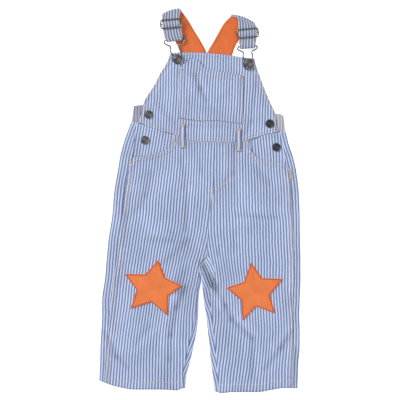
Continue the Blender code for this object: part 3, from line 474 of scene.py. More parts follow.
# How far the stripes lie to the right of the straight grain. Each row is a level and the drift at the
# places across that are named above it.
LEFT_DRIFT_X = (-165.0, -140.0, -115.0, -90.0, -65.0, -40.0, -15.0, 10.0)
LEFT_DRIFT = [
    (90.0, 47.5, 47.2, 47.0, 46.6, 45.7, 43.6, 41.5, 40.6),
    (66.0, 44.7, 44.4, 44.1, 44.0, 43.7, 43.1, 41.6, 39.5),
    (42.0, 41.9, 41.8, 41.8, 41.4, 40.6, 40.4, 40.7, 38.8),
    (20.0, 39.0, 38.8, 38.4, 38.0, 37.7, 38.2, 38.7, 38.4),
    (0.0, 36.0, 35.9, 35.5, 34.6, 35.2, 36.4, 37.1, 37.7),
    (-14.0, 33.6, 33.6, 33.7, 33.7, 34.3, 35.3, 35.9, 36.5),
    (-21.0, 32.4, 32.5, 32.7, 33.3, 34.0, 34.8, 35.2, 35.7),
    (-28.0, 31.2, 31.3, 31.7, 32.5, 33.5, 34.3, 34.4, 35.0),
    (-36.0, 29.8, 30.1, 30.5, 31.1, 32.6, 33.5, 33.5, 34.1),
    (-52.0, 27.2, 27.5, 27.8, 28.7, 30.0, 31.2, 31.4, 31.8),
    (-70.0, 24.2, 24.6, 25.1, 25.6, 25.9, 26.5, 27.6, 28.2),
    (-86.0, 21.8, 22.2, 22.6, 22.9, 22.9, 22.8, 23.7, 24.6),
    (-102.0, 19.7, 19.9, 20.1, 20.3, 20.2, 19.7, 19.1, 20.0),
    (-118.0, 17.8, 17.7, 17.8, 18.0, 17.3, 16.3, 16.0, 15.9),
    (-136.0, 16.0, 15.9, 15.7, 15.2, 13.9, 12.4, 12.3, 11.7),
    (-156.0, 14.0, 13.9, 13.6, 12.9, 11.4, 9.5, 7.9, 7.2),
    (-176.0, 11.9, 11.7, 11.3, 10.9, 9.7, 7.5, 5.5, 4.5),
    (-196.0, 9.4, 8.9, 8.4, 7.7, 6.8, 4.9, 4.1, 3.5),
    (-216.0, 6.6, 6.1, 5.2, 4.5, 3.7, 3.6, 3.7, 3.6),
    (-238.0, 3.6, 3.0, 2.6, 1.9, 2.0, 2.7, 3.4, 3.9),
    (-260.0, 1.0, 1.0, 0.7, 0.6, 1.2, 2.8, 3.6, 4.2),
    (-284.0, -1.2, -0.7, -0.4, 0.4, 1.1, 2.3, 3.4, 4.3),
    (-312.0, -4.2, -3.4, -2.0, -0.9, 0.5, 2.3, 3.4, 4.3),
]

RIGHT_DRIFT_X = (5.0, 28.0, 51.0, 74.0, 97.0, 120.0, 143.0, 166.0)
RIGHT_DRIFT = [
    (90.0, -2.9, -3.1, -3.4, -4.0, -5.1, -6.0, -6.7, -7.2),
    (66.0, -3.2, -3.3, -3.4, -4.3, -5.1, -5.7, -5.9, -6.2),
    (42.0, -3.3, -3.5, -3.6, -3.7, -4.0, -4.7, -5.1, -5.0),
    (20.0, -3.1, -3.2, -3.3, -3.4, -2.8, -2.5, -2.9, -3.3),
    (0.0, -2.9, -2.6, -3.0, -2.9, -2.5, -2.3, -1.9, -2.0),
    (-14.0, -3.2, -2.8, -2.5, -2.3, -2.3, -1.9, -1.8, -1.4),
    (-21.0, -3.6, -2.7, -2.0, -1.7, -1.7, -1.4, -1.3, -1.0),
    (-28.0, -3.8, -2.8, -1.5, -0.7, -0.4, -0.4, -0.5, -0.5),
    (-36.0, -4.0, -2.9, -1.1, 0.2, 0.5, 0.8, 0.6, 0.1),
    (-52.0, -3.3, -2.3, -0.5, 0.1, 0.9, 1.1, 1.2, 1.2),
    (-70.0, -1.2, -0.7, 0.3, 0.9, 1.2, 1.5, 1.8, 2.1),
    (-86.0, 2.3, 1.3, 0.8, 1.2, 1.9, 2.6, 2.7, 2.8),
    (-102.0, 6.3, 4.5, 1.9, 1.6, 2.7, 3.4, 3.6, 3.4),
    (-118.0, 8.9, 7.2, 4.5, 3.1, 2.7, 3.0, 3.5, 3.8),
    (-136.0, 10.2, 8.7, 7.0, 5.3, 3.6, 3.1, 3.3, 3.6),
    (-156.0, 10.3, 8.8, 7.1, 6.0, 4.9, 3.9, 3.8, 4.2),
    (-176.0, 9.7, 9.1, 8.2, 7.3, 6.5, 5.3, 5.2, 5.3),
    (-196.0, 8.3, 9.0, 9.3, 8.4, 7.5, 7.1, 6.5, 6.2),
    (-216.0, 6.1, 6.6, 8.1, 8.7, 8.1, 7.5, 7.0, 6.6),
    (-238.0, 4.0, 5.0, 6.2, 7.3, 7.1, 6.4, 6.6, 6.3),
    (-260.0, 2.0, 3.0, 3.7, 4.8, 4.9, 4.8, 4.7, 5.1),
    (-284.0, -0.3, -0.2, 0.6, 1.7, 2.4, 2.9, 3.5, 4.0),
    (-312.0, -2.2, -2.1, -2.2, -2.3, -0.2, 2.6, 3.1, 3.2),
]

BIB_DRIFT_X = (-110.0, -85.0, -60.0, -35.0, -10.0, 15.0, 40.0, 65.0, 90.0, 115.0, 140.0)
BIB_DRIFT = [
    (240.0, 6.7, 7.2, 7.9, 8.9, 9.7, 9.5, 8.6, 8.0, 7.9, 8.1, 8.2),
    (216.0, 6.8, 6.6, 6.4, 6.9, 7.8, 8.4, 8.0, 7.5, 7.4, 7.5, 7.6),
    (198.0, 6.8, 6.7, 6.5, 6.3, 6.1, 6.3, 6.5, 6.3, 6.8, 7.0, 6.9),
    (180.0, 6.5, 6.6, 6.6, 5.8, 5.4, 5.4, 5.6, 5.9, 6.1, 6.0, 5.8),
    (162.0, 5.5, 5.4, 5.4, 4.9, 4.6, 4.5, 5.1, 5.4, 4.6, 4.4, 4.5),
    (144.0, 4.0, 3.7, 3.5, 4.0, 3.7, 3.5, 4.0, 4.2, 3.5, 3.4, 3.5),
    (124.0, 2.6, 2.5, 2.4, 2.4, 2.1, 2.2, 2.2, 2.4, 3.3, 3.0, 2.6),
    (102.0, 1.4, 1.5, 1.5, 1.2, 1.2, 1.1, 1.1, 1.4, 1.4, 1.5, 1.5),
    (80.0, 0.4, 0.4, 0.4, 0.2, 0.1, -0.2, -0.4, -0.5, -0.4, -0.2, 0.1),
]
STRIPE = 4.79

# Crumpled places that lie in shade: place, reach across and along, and how dark
SHADED = [
    (19.0, -138.0, 7.0, 9.0, -1.5),
    (12.0, -122.0, 5.0, 8.0, -1.1),
    (5.0, -106.0, 4.0, 8.0, -1.0),
    (26.0, -120.0, 6.0, 8.0, -0.5),
    (27.0, -152.0, 5.0, 8.0, -0.7),
    (-34.0, -88.0, 22.0, 16.0, -0.35),
    (-40.0, -134.0, 7.0, 14.0, -0.5),
    (-27.0, -150.0, 7.0, 9.0, -0.5),
]

# Edge of the facing on the inner side of each leg, by level
PLACKET_LINES = {
    LEFT: [(-140.0, -36.0), (-177.0, -44.0), (-222.0, -50.0), (-262.0, -51.0), (-316.0, -56.9)],
    RIGHT: [(-134.0, 42.0), (-180.0, 40.0), (-240.0, 45.0), (-318.0, 54.9)],
}
CROTCH_LEAN = 0.45
CROTCH_LOW = -146.0
# How much wider the strap lies on its left and right at the slide, how far along it and above
# which level, and how much further its fold bows
SLIDE_SPREAD = {LEFT: (0.8, 0.6), RIGHT: (1.2, 1.2)}
SLIDE_SPREAD_REACH = 9.0
SLIDE_SPREAD_ABOVE = 5.5
FOLD_RISE = {LEFT: 1.3, RIGHT: 0.4}
STRAP_STRIPS = 14
STRAP_MIDDLE = 7
STRAP_STEP = 2.6
HIP_LEAN = {LEFT: 0.165, RIGHT: -0.08}
BIB_SPREAD = 1.035
POCKET_SHIFT = 1.3
UV_UNIT = 100.0

# Relief of the cloth: how far a ridge's table reaches, the softness of a step, and raised bands
LINE_REACH = 2.6
LOWEST_FACE = 2.6
# Limits of the painted crease shade, from its darkest to its lightest
PAINTED_SHADE_LOW = -2.6
PAINTED_SHADE_HIGH = 1.0
PUFF_FADE = 60.0
PUFF_LEGS_Y = -60.0
PUFF_TOP_Y = 90.0
OPENING_REACH = 14.0
STEP_SOFT = 1.6
SIDE_RAISED = 0.6
CENTRE_RAISED = 0.25
SCOOP_RAISED = 0.5
WAIST_RAISED = 0.45
SIDE_PUCKER = 0.13
WAIST_GATHER = 0.16
PLACKET_RAISED = 0.45
PLACKET_TOP_Y = -140.0
HEM_RAISED = 0.6
HEM_GROOVE = 0.35
GROOVE_IN = 1.4
BIB_RAISED = 0.5
BIB_PUCKER = 0.12

# Bib pocket: its hem's stitching, the lift of its corner, and how far its sewn edges are pressed down
POCKET_HEM_Y = 209.3
POCKET_HEM_SLOPE = 0.103
POCKET_EDGE_RISE = 0.75
POCKET_LIFT = 1.5
POCKET_LIFT_X = -12.0
POCKET_LIFT_WIDE = 20.0
POCKET_LIFT_SHARE = 0.3
POCKET_FOOT_PRESS = 0.5
POCKET_SIDE_PRESS = 0.25

# Sewing
JOIN = 0.03
CLOTH = 0.7
SEAM_BAND = 7.4
HEM_BAND = 13.2
EDGE_BAND = 5.2
POCKET_TALL = 88.0
STITCH_LONG = 2.7
STITCH_GAP = 0.8
STITCH_RADIUS = 0.42
STITCH_SINK = 0.05
TACK_THREAD = 0.42
TACK_WIDE = 2.4
TACK_PITCH = 0.62
NEAR_HEM_Y = -300.0
HEM_JOIN_X = {LEFT: -56.9, RIGHT: 54.9}
FLY_LINE = [(45.2, 93.0), (45.2, 60.0), (44.6, 42.0), (42.0, 29.0), (36.5, 20.5), (28.0, 16.2), (20.0, 14.6)]
FLY_ROWS = (0.0, -3.4)

# Stars, as shares of the way from the middle to the edge, and depths
STAR_SATIN_FROM = 0.86
STAR_GROOVE_AT = 0.935
STAR_GROOVE_WIDE = 0.02
STAR_GROOVE = 0.22
STAR_EDGE_DROP = 0.55
STAR_SEWN_AT = 0.95

# Colours, as linear light
LIGHT_STRIPE = (0.60, 0.68, 0.88)
DARK_STRIPE = (0.188, 0.245, 0.44)
LOOP_LIGHT = (0.60, 0.61, 0.72)
LOOP_DARK = (0.22, 0.25, 0.40)
STRAP_LIGHT = (0.52, 0.56, 0.68)
STRAP_DARK = (0.16, 0.19, 0.31)
# The wrong side's tones: the left tab's copy is painted darker, a painted shade, and the right tab's
# lighter, a painted light, on one cloth.
WRONG_LIGHT = {LEFT: (0.44, 0.44, 0.54), RIGHT: (0.62, 0.61, 0.66)}
WRONG_DARK = {LEFT: (0.23, 0.24, 0.35), RIGHT: (0.36, 0.36, 0.44)}
ORANGE = (0.83, 0.215, 0.066)
LINING = (0.75, 0.169, 0.046)
THREAD = (0.70, 0.57, 0.49)
TACK = (0.64, 0.50, 0.32)
ORANGE_THREAD = (0.72, 0.115, 0.03)
BIB_BUTTON = (0.132, 0.124, 0.117)
# The side buttons share one plating: the left pair is painted lighter, a painted light, and the right pair
# darker, a painted shade.
PAINTED_LIT_BUTTON = (0.137, 0.138, 0.146)
PAINTED_SHADED_BUTTON = (0.053, 0.057, 0.060)
WIRE = (0.20, 0.20, 0.19)

# Studio: lights by name, place in metres, size and power, then the floor and the camera
AREA_LIGHTS = [("key", (-3.6, 2.2, 2.7), 2.3, 206.0), ("fill", (1.6, -0.6, 3.2), 1.8, 48.0)]
WORLD_STRENGTH = 0.335
FLOOR_HALF = 6.0
FLOOR_BELOW = 0.05
FLOOR_GLOW = 0.55
SENSOR = 36.0
FRAME_ACROSS = 0.66
CAMERA_ABOVE = 3.0
CAMERA_Y = 0.0008


class Curve:
    """A value along a line. Between two rows it never swings past them."""

    def __init__(self, pairs):
        pairs = sorted(pairs)
        self.keys = [key for key, _ in pairs]
        self.values = [value for _, value in pairs]
        steps = range(len(pairs) - 1)
        slopes = [(self.values[i + 1] - self.values[i]) / (self.keys[i + 1] - self.keys[i]) for i in steps]
        self.slopes = [slopes[0]]
        for before, after in zip(slopes, slopes[1:]):
            together = before * after > 0
            self.slopes.append(2 * before * after / (before + after) if together else 0.0)
        self.slopes.append(slopes[-1])

    def __call__(self, key):
        key = min(max(key, self.keys[0]), self.keys[-1])
        i = min(max(bisect_right(self.keys, key) - 1, 0), len(self.keys) - 2)
        span = self.keys[i + 1] - self.keys[i]
        t = (key - self.keys[i]) / span
        start = self.values[i] * (1 + 2 * t) * (1 - t) ** 2 + span * self.slopes[i] * t * (1 - t) ** 2
        end = self.values[i + 1] * t * t * (3 - 2 * t) + span * self.slopes[i + 1] * t * t * (t - 1)
        return start + end


def curves(columns, rows):
    """A curve for each column after the first, which is the key."""
    return {name: Curve([(row[0], row[i]) for row in rows]) for i, name in enumerate(columns) if i}


def counted(rows):
    """A curve for each column, keyed by the row's number."""
    return [Curve([(i, row[n]) for i, row in enumerate(rows)]) for n in range(len(rows[0]))]


def by_level(rows):
    """A curve for each column after the first, in a list."""
    return [Curve([(row[0], row[i]) for row in rows]) for i in range(1, len(rows[0]))]


OPENING = {LEFT: LEFT_OPENING, RIGHT: RIGHT_OPENING}
OPENING_CURVES = {side: counted(rows) for side, rows in OPENING.items()}
LEG = {LEFT: curves(LEG_COLUMNS, LEFT_LEG), RIGHT: curves(LEG_COLUMNS, RIGHT_LEG)}
HEM = {LEFT: Curve(LEFT_HEM), RIGHT: Curve(RIGHT_HEM)}
OPENING_POINTS = {}
for _side, (_x, _y, _) in OPENING_CURVES.items():
    OPENING_POINTS[_side] = [(_x(i / 6), _y(i / 6)) for i in range(6 * (len(OPENING[_side]) - 1) + 1)]
WAIST = Curve(WAIST_SEAM)
BACK_WAIST_LINE = Curve(BACK_WAIST)
BIB_CURVES = counted(BIB)
BIB_TOP_EDGE = Curve(BIB_TOP)
POCKET_TOP_EDGE = Curve(POCKET_TOP)
POCKET_LOW_EDGE = Curve(POCKET_BOTTOM)
DRIFTS = {
    LEFT: (LEFT_DRIFT_X, by_level(LEFT_DRIFT)),
    RIGHT: (RIGHT_DRIFT_X, by_level(RIGHT_DRIFT)),
    "bib": (BIB_DRIFT_X, by_level(BIB_DRIFT)),
}
PLACKET = {side: Curve(points) for side, points in PLACKET_LINES.items()}


def mix(a, b, t):
    return a + (b - a) * t


def clamp(value, low=0.0, high=1.0):
    return min(max(value, low), high)


def smooth(t):
    t = clamp(t)
    return t * t * (3 - 2 * t)


def bell(away, width):
    """One in the middle of a soft ridge, falling off to nothing beside it."""
    return math.exp(-((away / width) ** 2))


def from_segment(x, y, x1, y1, x2, y2):
    """Distance of a point from a straight piece of line."""
    along = clamp(((x - x1) * (x2 - x1) + (y - y1) * (y2 - y1)) / ((x2 - x1) ** 2 + (y2 - y1) ** 2))
    return math.hypot(x - mix(x1, x2, along), y - mix(y1, y2, along))


def four_round(points, i):
    """The points before, at, after and two after a place, held at the ends of an open line."""
    return [points[clamp(i + k, 0, len(points) - 1)] for k in (-1, 0, 1, 2)]


def spread(start, end, strips):
    """The ends of equal strips between two values."""
    return [mix(start, end, i / strips) for i in range(strips + 1)]


def lines_at(x, y, rows):
    """Height of the soft ridges and troughs of a table at a point."""
    total = 0.0
    for x1, y1, x2, y2, height, width in rows:
        reach = LINE_REACH * width
        if x < min(x1, x2) - reach or x > max(x1, x2) + reach:
            continue
        if y < min(y1, y2) - reach or y > max(y1, y2) + reach:
            continue
        total += height * bell(from_segment(x, y, x1, y1, x2, y2), width)
    return total


def painted_crease_shade(x, y):
    """Painted shade and painted highlight at a point: darker in a crease's trough and in the shaded places,
    lighter on its ridge.
    """
    shade = lines_at(x, y, CREASES)
    for px, py, reach_x, reach_y, dark in SHADED:
        shade += dark * math.exp(-(((x - px) / reach_x) ** 2) - ((y - py) / reach_y) ** 2)
    return clamp(shade, PAINTED_SHADE_LOW, PAINTED_SHADE_HIGH)


def ripple(x, y):
    """The cloth's small unevenness."""
    wide = math.sin(x / 11.3 + 1.7 * math.sin(y / 37.0)) * math.sin(y / 19.1 + 0.8 + math.sin(x / 29.0))
    small = math.sin(x / 4.3 + y / 23.0) * math.sin(y / 7.7 - x / 31.0)
    return 0.17 * wide + 0.07 * small


def drift(piece, x, y):
    """How far the stripes of a piece lie to the right of the straight grain at a point."""
    places, columns = DRIFTS[piece]
    step = places[1] - places[0]
    at = clamp((x - places[0]) / step, 0.0, len(places) - 1.001)
    i = int(at)
    return mix(columns[i](y), columns[i + 1](y), at - i)


def crown(x, low, high):
    share = clamp((x - low) / (high - low))
    return 1 - (2 * share - 1) ** 4


def front_top(x, y):
    """Height of the trousers' front layer before its sewing."""
    side = LEFT if x < (LEG[LEFT]["inner"](y) + LEG[RIGHT]["inner"](y)) / 2 else RIGHT
    outer = LEG[side]["outer"](y)
    inner = LEG[side]["inner"](y)
    whole = crown(x, LEG[LEFT]["outer"](y), LEG[RIGHT]["outer"](y))
    one_leg = crown(x, min(outer, inner), max(outer, inner))
    legs = smooth((PUFF_LEGS_Y - y) / PUFF_FADE)
    puff = PUFF * mix(whole, one_leg, legs) * smooth((PUFF_TOP_Y - y) / PUFF_FADE)
    base = clamp(RISE + puff + lines_at(x, y, FOLDS), LOWEST_TOP, HIGHEST_TOP)
    return max(base + lines_at(x, y, CREASES) + ripple(x, y), LOWEST_FACE)


def from_opening(side, x, y):
    """Distance from a pocket opening's edge, or a large one away from it."""
    points = OPENING_POINTS[side]
    far = OPENING_REACH
    low_x, high_x = sorted((points[0][0], points[-1][0]))
    if y < points[-1][1] - far or not low_x - far < x < high_x + far:
        return far
    nearest = far
    for a, b in zip(points, points[1:]):
        nearest = min(nearest, from_segment(x, y, *a, *b))
    return nearest


def placket(side, x, y):
    """How far the facing on the inner side of a leg raises the cloth at a point."""
    inside = smooth(0.5 + side * (PLACKET[side](y) - x) / 1.4)
    return PLACKET_RAISED * inside * smooth((PLACKET_TOP_Y - y) / 30.0)


def hem_relief(side, x, y):
    """The turned hem: a raised band with a groove along its stitching."""
    up = y - HEM[side](x)
    band = smooth((HEM_BAND + 1.2 - up) / STEP_SOFT)
    return HEM_RAISED * band - HEM_GROOVE * bell(up - HEM_BAND + GROOVE_IN, 1.2)


def front_skin(side, x, y):
    """Height of a front panel's face, with its seam bands and hem."""
    in_from_side = side * (LEG[side]["side_seam"](y) - x)
    opening_end = OPENING[side][-1][1]
    band = smooth((SEAM_BAND + 1.4 - in_from_side) / STEP_SOFT) * smooth((opening_end + 2.0 - y) / 4.0)
    pucker = bell(in_from_side, 9.0) * math.sin(y / 2.3 + math.sin(y / 17.0))
    in_from_seam = side * (x - LEG[side]["front_edge"](y))
    centre = smooth((4.6 - in_from_seam) / STEP_SOFT) * (1.0 if side == LEFT else 0.45)
    scoop = smooth((EDGE_BAND + 1.5 - from_opening(side, x, y)) / STEP_SOFT)
    below_waist = smooth((EDGE_BAND - WAIST(x) + y) / STEP_SOFT)
    gather = bell(WAIST(x) - y, 14.0) * math.sin(x / 2.1 + 1.5 * math.sin(x / 17.0))
    raised = (SIDE_RAISED * band, CENTRE_RAISED * centre, SCOOP_RAISED * scoop, WAIST_RAISED * below_waist)
    relief = max(raised) + SIDE_PUCKER * pucker + WAIST_GATHER * gather
    return front_top(x, y) + relief + placket(side, x, y) + hem_relief(side, x, y)


def bent(y, x, side):
    """A row's level where it crosses x: its ends follow the back waist and the hem."""
    near_waist = smooth(1 - (BACK_WAIST_Y - y) / WAIST_BEND)
    near_hem = clamp(1 - (y - HEM_Y) / HEM_BEND)
    return y + near_waist * (BACK_WAIST_LINE(x) - BACK_WAIST_Y) + near_hem * (HEM[side](x) - HEM_Y)


def edge_x(side, column, y):
    curve = LEG[side][column]
    return curve(bent(y, curve(y), side))


def measured(row, start=0.0):
    """A row's points with the distance along it from the first one."""
    out = []
    run = start
    for i, point in enumerate(row):
        if i:
            run += math.dist(point, row[i - 1])
        out.append((*point, run))
    return out


def back_leg_row(side, y):
    """One row across a back panel: side seam, outer fold, underside, inner fold and inseam. Each
    point's last value is its distance from the outer fold, which places the stripes."""
    outer = edge_x(side, "outer", y)
    inner = edge_x(side, "inner", y)
    seam = edge_x(side, "side_seam", y) + side * JOIN / 2
    inseam = edge_x(side, "front_edge", y) - side * JOIN / 2
    folded = y < CROTCH_Y + 2.0
    inseam = inner + side * max(side * (inseam - inner), 1.2)
    reach = min(FOLD_REACH, 0.6 * abs(inner - inseam))
    turns = [math.radians(a) for a in range(90, -91, -15)]
    row = []

    def skin(x):
        y_here = bent(y, x, side)
        return front_top(x, y_here) + hem_relief(side, x, y_here)

    def add(x, z):
        row.append((x, bent(y, x, side), z))

    arc_x = outer - side * FOLD_REACH
    top = skin(arc_x)
    for x in spread(seam, arc_x, 7)[:-1]:
        add(x, skin(x))
    for turn in turns:
        add(arc_x + side * FOLD_REACH * math.cos(turn), top / 2 * (1 + math.sin(turn)))
    if not folded:
        for x in spread(arc_x, inner + side * JOIN / 2, 12)[1:]:
            add(x, 0.0)
        missing = [None] * 20
    else:
        arc_x = inner + side * reach
        for x in spread(outer - side * FOLD_REACH, arc_x, 12)[1:-1]:
            add(x, 0.0)
        top = skin(arc_x)
        for turn in reversed(turns):
            add(arc_x - side * reach * math.cos(turn), top / 2 * (1 + math.sin(turn)))
        for x in spread(arc_x, inseam, 8)[1:]:
            add(x, skin(x))
        missing = []
    zero = sum(math.dist(row[i], row[i + 1]) for i in range(13))
    out = []
    lean = 0.0
    if side == RIGHT and y > CROTCH_LOW:
        outer_low, inner_low = edge_x(side, "outer", CROTCH_LOW), edge_x(side, "inner", CROTCH_LOW)
        lean = 2 * (inner - inner_low) - (outer - outer_low) + CROTCH_LEAN * (y - CROTCH_LOW)
    for px, py, pz, run in measured(row, -zero):
        across = smooth((outer - px) / (outer - inner) - 0.1) if folded else 0.0
        out.append((px, py, pz, run + lean * across, py, painted_crease_shade(px, py)))
    return out + missing


def levels(keys, step):
    """Levels from the first key down to the last, about a step apart and on every key."""
    out = [keys[0]]
    for a, b in zip(keys, keys[1:]):
        out += spread(a, b, max(1, round((a - b) / step)))[1:]
    return out


HEM_ROWS = [HEM_Y + d for d in (18.0, 15.0, 13.8, 12.6, 11.4, 9.5, 6.5, 3.0, 0.0)]


def back_leg_rows(side):
    keys = [BACK_WAIST_Y, CROTCH_Y + 2.2, CROTCH_Y + 1.6, -92.4] + HEM_ROWS
    return [back_leg_row(side, y) for y in levels(keys, 4.4)]


FROM_SIDE = (0.0, 1.2, 3.2, 5.4, 7.0, 8.0, 9.2, 11.5)
FROM_SEAM = (6.4, 4.9, 3.9, 2.4, 1.0, 0.0)


def front_leg_rows(side):
    """Rows across a front panel, from the side to the centre seam or inseam."""
    opening = OPENING[side]
    curve_x, curve_y, curve_in = OPENING_CURVES[side]
    ends = []
    for place in spread(0.0, len(opening) - 1.0, 42):
        ends.append((place, curve_x(place), curve_y(place), curve_in(place), curve_y(place)))
    top_level, top_inner = FRONT_LEVELS[0]
    last_y, last_inner = opening[-1][1], opening[-1][2]
    for t in (0.25, 0.5, 0.75):
        y = mix(last_y, top_level, t)
        x = LEG[side]["side_seam"](y) - side * JOIN / 2
        ends.append((len(opening) - 1 + t, x, y, mix(last_inner, top_inner, t), y))
    inner_of = Curve(FRONT_LEVELS)
    for y_flat in levels([top_level] + HEM_ROWS, 3.2):
        y = bent(y_flat, LEG[side]["side_seam"](y_flat), side)
        ends.append((len(opening), LEG[side]["side_seam"](y) - side * JOIN / 2, y, inner_of(y_flat), y_flat))
    rows = []
    for place, x_side, y_side, y_in, y_flat in ends:
        y_low = bent(y_in, LEG[side]["front_edge"](y_in), side)
        x_in = LEG[side]["front_edge"](y_low) + side * JOIN / 2
        wide = abs(x_in - x_side)
        middle = spread(FROM_SIDE[-1], wide - FROM_SEAM[0], 60)
        across = list(FROM_SIDE[:-1]) + middle + [wide - d for d in FROM_SEAM[1:]]
        row = []
        for d in across:
            share = d / wide
            x = mix(x_side, x_in, share)
            y = mix(y_side, y_low, share)
            if y_flat < HEM_Y + HEM_BEND:
                y = bent(mix(y_flat, y_in, share), x, side)
            y += max(1 - place / 4, 0.0) * (WAIST(x) - mix(WAIST(x_side), WAIST(x_in), share))
            if place == 0:
                y = WAIST(x) - JOIN / 2
            row.append((x, y, front_skin(side, x, y), x - drift(side, x, y), y, painted_crease_shade(x, y)))
        rows.append(row)
    return rows


def hip_top(side, x, y):
    """Height of a hip piece's outer face, as in the solids."""
    opening = OPENING[side]
    below_waist = smooth((WAIST(x) - y) / 10.0)
    from_side = smooth(abs(x - LEG[side]["side_seam"](y)) / 9.0)
    low_end = opening[-1][1]
    near_front_low = smooth((low_end + 9.0 - y) / 7.0) * max(from_side, smooth((low_end + 1.5 - y) / 3.0))
    near_front_top = smooth(1 + (12.0 - side * (x - opening[0][0])) / 7.0)
    drop = max(below_waist * from_side, near_front_low, near_front_top)
    return front_top(x, y) - HIP_DROP * drop


def hip_rows(side):
    strips = counted({LEFT: LEFT_HIP, RIGHT: RIGHT_HIP}[side])
    rows = []
    for share in spread(0.0, 1.0, 26):
        row = []
        for place in spread(0.0, len(LEFT_HIP) - 1.0, 32):
            x_top, x_low, y_low = (curve(place) for curve in strips)
            x = mix(x_top, x_low, share)
            y = mix(WAIST(x_top) - JOIN / 2, y_low, share)
            if place < 1.0:
                x = mix(LEG[side]["side_seam"](y) - side * JOIN, x, place)
            row.append((x, y, hip_top(side, x, y), x - HIP_LEAN[side] * y, y))
        rows.append(row)
    return rows


def bib_top(x, y, row):
    """Height of the bib's face on one of its rows: it droops towards both side edges."""
    left_x, _, left_top, right_x, _, right_top = row
    from_left = smooth((x - left_x) / BIB_DROOP)
    from_right = smooth((right_x - x) / BIB_DROOP)
    middle = BIB_MIDDLE_TOP + lines_at(x, y, FOLDS)
    base = mix(left_top, middle, from_left) + mix(right_top, middle, from_right) - middle
    detail = lines_at(x, y, CREASES) + 0.8 * ripple(x, y)
    return base + detail * mix(0.35, 1.0, min(from_left, from_right))


def bib_row_values(place):
    return tuple(curve(place) for curve in BIB_CURVES)


def bib_y(x, place, row):
    """A bib row's level at x: the first row follows the top edge and the last the waist seam."""
    left_x, left_y, _, right_x, right_y, _ = row
    share = (x - left_x) / (right_x - left_x)
    y = mix(left_y, right_y, share)
    near_top = max(1 - place / 2, 0.0)
    near_seam = smooth(1 - (len(BIB) - 1 - place) / 5)
    low = BIB[-1]
    at_seam = smooth(1 - (len(BIB) - 1 - place))
    y -= at_seam * mix(low[1] - WAIST(low[0]), low[4] - WAIST(low[3]), share)
    y += near_top * (BIB_TOP_EDGE(x) - mix(BIB_TOP_EDGE(left_x), BIB_TOP_EDGE(right_x), share))
    return y + near_seam * (WAIST(x) + JOIN / 2 - mix(WAIST(left_x), WAIST(right_x), share))


def bib_relief(x, y, row):
    """The bib's turned edges and the felled waist seam."""
    from_edge = min(x - row[0], row[3] - x, BIB_TOP_EDGE(x) - y)
    edge = smooth((EDGE_BAND + 1.2 - from_edge) / STEP_SOFT)
    above_waist = y - WAIST(x)
    seam = smooth((SEAM_BAND + 1.2 - above_waist) / STEP_SOFT)
    pucker = bell(above_waist, 7.0) * math.sin(x / 1.7 + 1.3 * math.sin(x / 13.0))
    return BIB_RAISED * max(edge, seam) + BIB_PUCKER * pucker


def bib_rows():
    rows = []
    edge = (0.0, 1.5, 3.6, 5.0, 6.2, 8.0, 11.0)
    last = len(BIB) - 1.0
    places = spread(0.0, 0.65, 9) + spread(0.65, last - 1.0, 52)[1:] + spread(last - 1.0, last, 9)[1:]
    for place in places:
        row = bib_row_values(place)
        left_x, right_x = row[0], row[3]
        xs = [left_x + d for d in edge[:-1]]
        xs += spread(left_x + edge[-1], right_x - edge[-1], 76)
        xs += [right_x - d for d in reversed(edge[:-1])]
        points = []
        for x in xs:
            y = bib_y(x, place, row)
            z = bib_top(x, y, row) + bib_relief(x, y, row)
            points.append((x, y, z, BIB_SPREAD * x - drift("bib", x, y), y, painted_crease_shade(x, y)))
        rows.append(points)
    return rows


def bib_top_at(x, y):
    """Height of the bib's face at any point of it, from the row that crosses the point."""
    low, high = 0.0, len(BIB) - 1.0
    for _ in range(18):
        place = (low + high) / 2
        if bib_y(x, place, bib_row_values(place)) > y:
            low = place
        else:
            high = place
    row = bib_row_values(low)
    return bib_top(x, y, row) + bib_relief(x, y, row)


POCKET_WIDE = POCKET_TOP[-1][0] - POCKET_TOP[0][0]


def pocket_lift(x, share):
    """How far the pocket's upper left corner stands off the bib."""
    return POCKET_LIFT * smooth(1 - share / POCKET_LIFT_SHARE) * bell(x - POCKET_LIFT_X, POCKET_LIFT_WIDE)


def pocket_hem(x):
    """Level of the stitching under the pocket's top hem."""
    return POCKET_HEM_Y - POCKET_HEM_SLOPE * (x - POCKET_TOP[0][0])


def pocket_rise(across, down):
    """The pocket lies close to the bib along its sewn edges."""
    from_edge = min(across, POCKET_WIDE - across, POCKET_TALL - down)
    return POCKET_EDGE_RISE + (LAP + WALL - POCKET_EDGE_RISE) * smooth((from_edge - 1.0) / 9.0)


def pocket_point(step, share):
    x_top = mix(POCKET_TOP[0][0], POCKET_TOP[-1][0], step)
    x_low = mix(POCKET_BOTTOM[0][0], POCKET_BOTTOM[-1][0], step)
    return mix(x_top, x_low, share), mix(POCKET_TOP_EDGE(x_top), POCKET_LOW_EDGE(x_low), share)


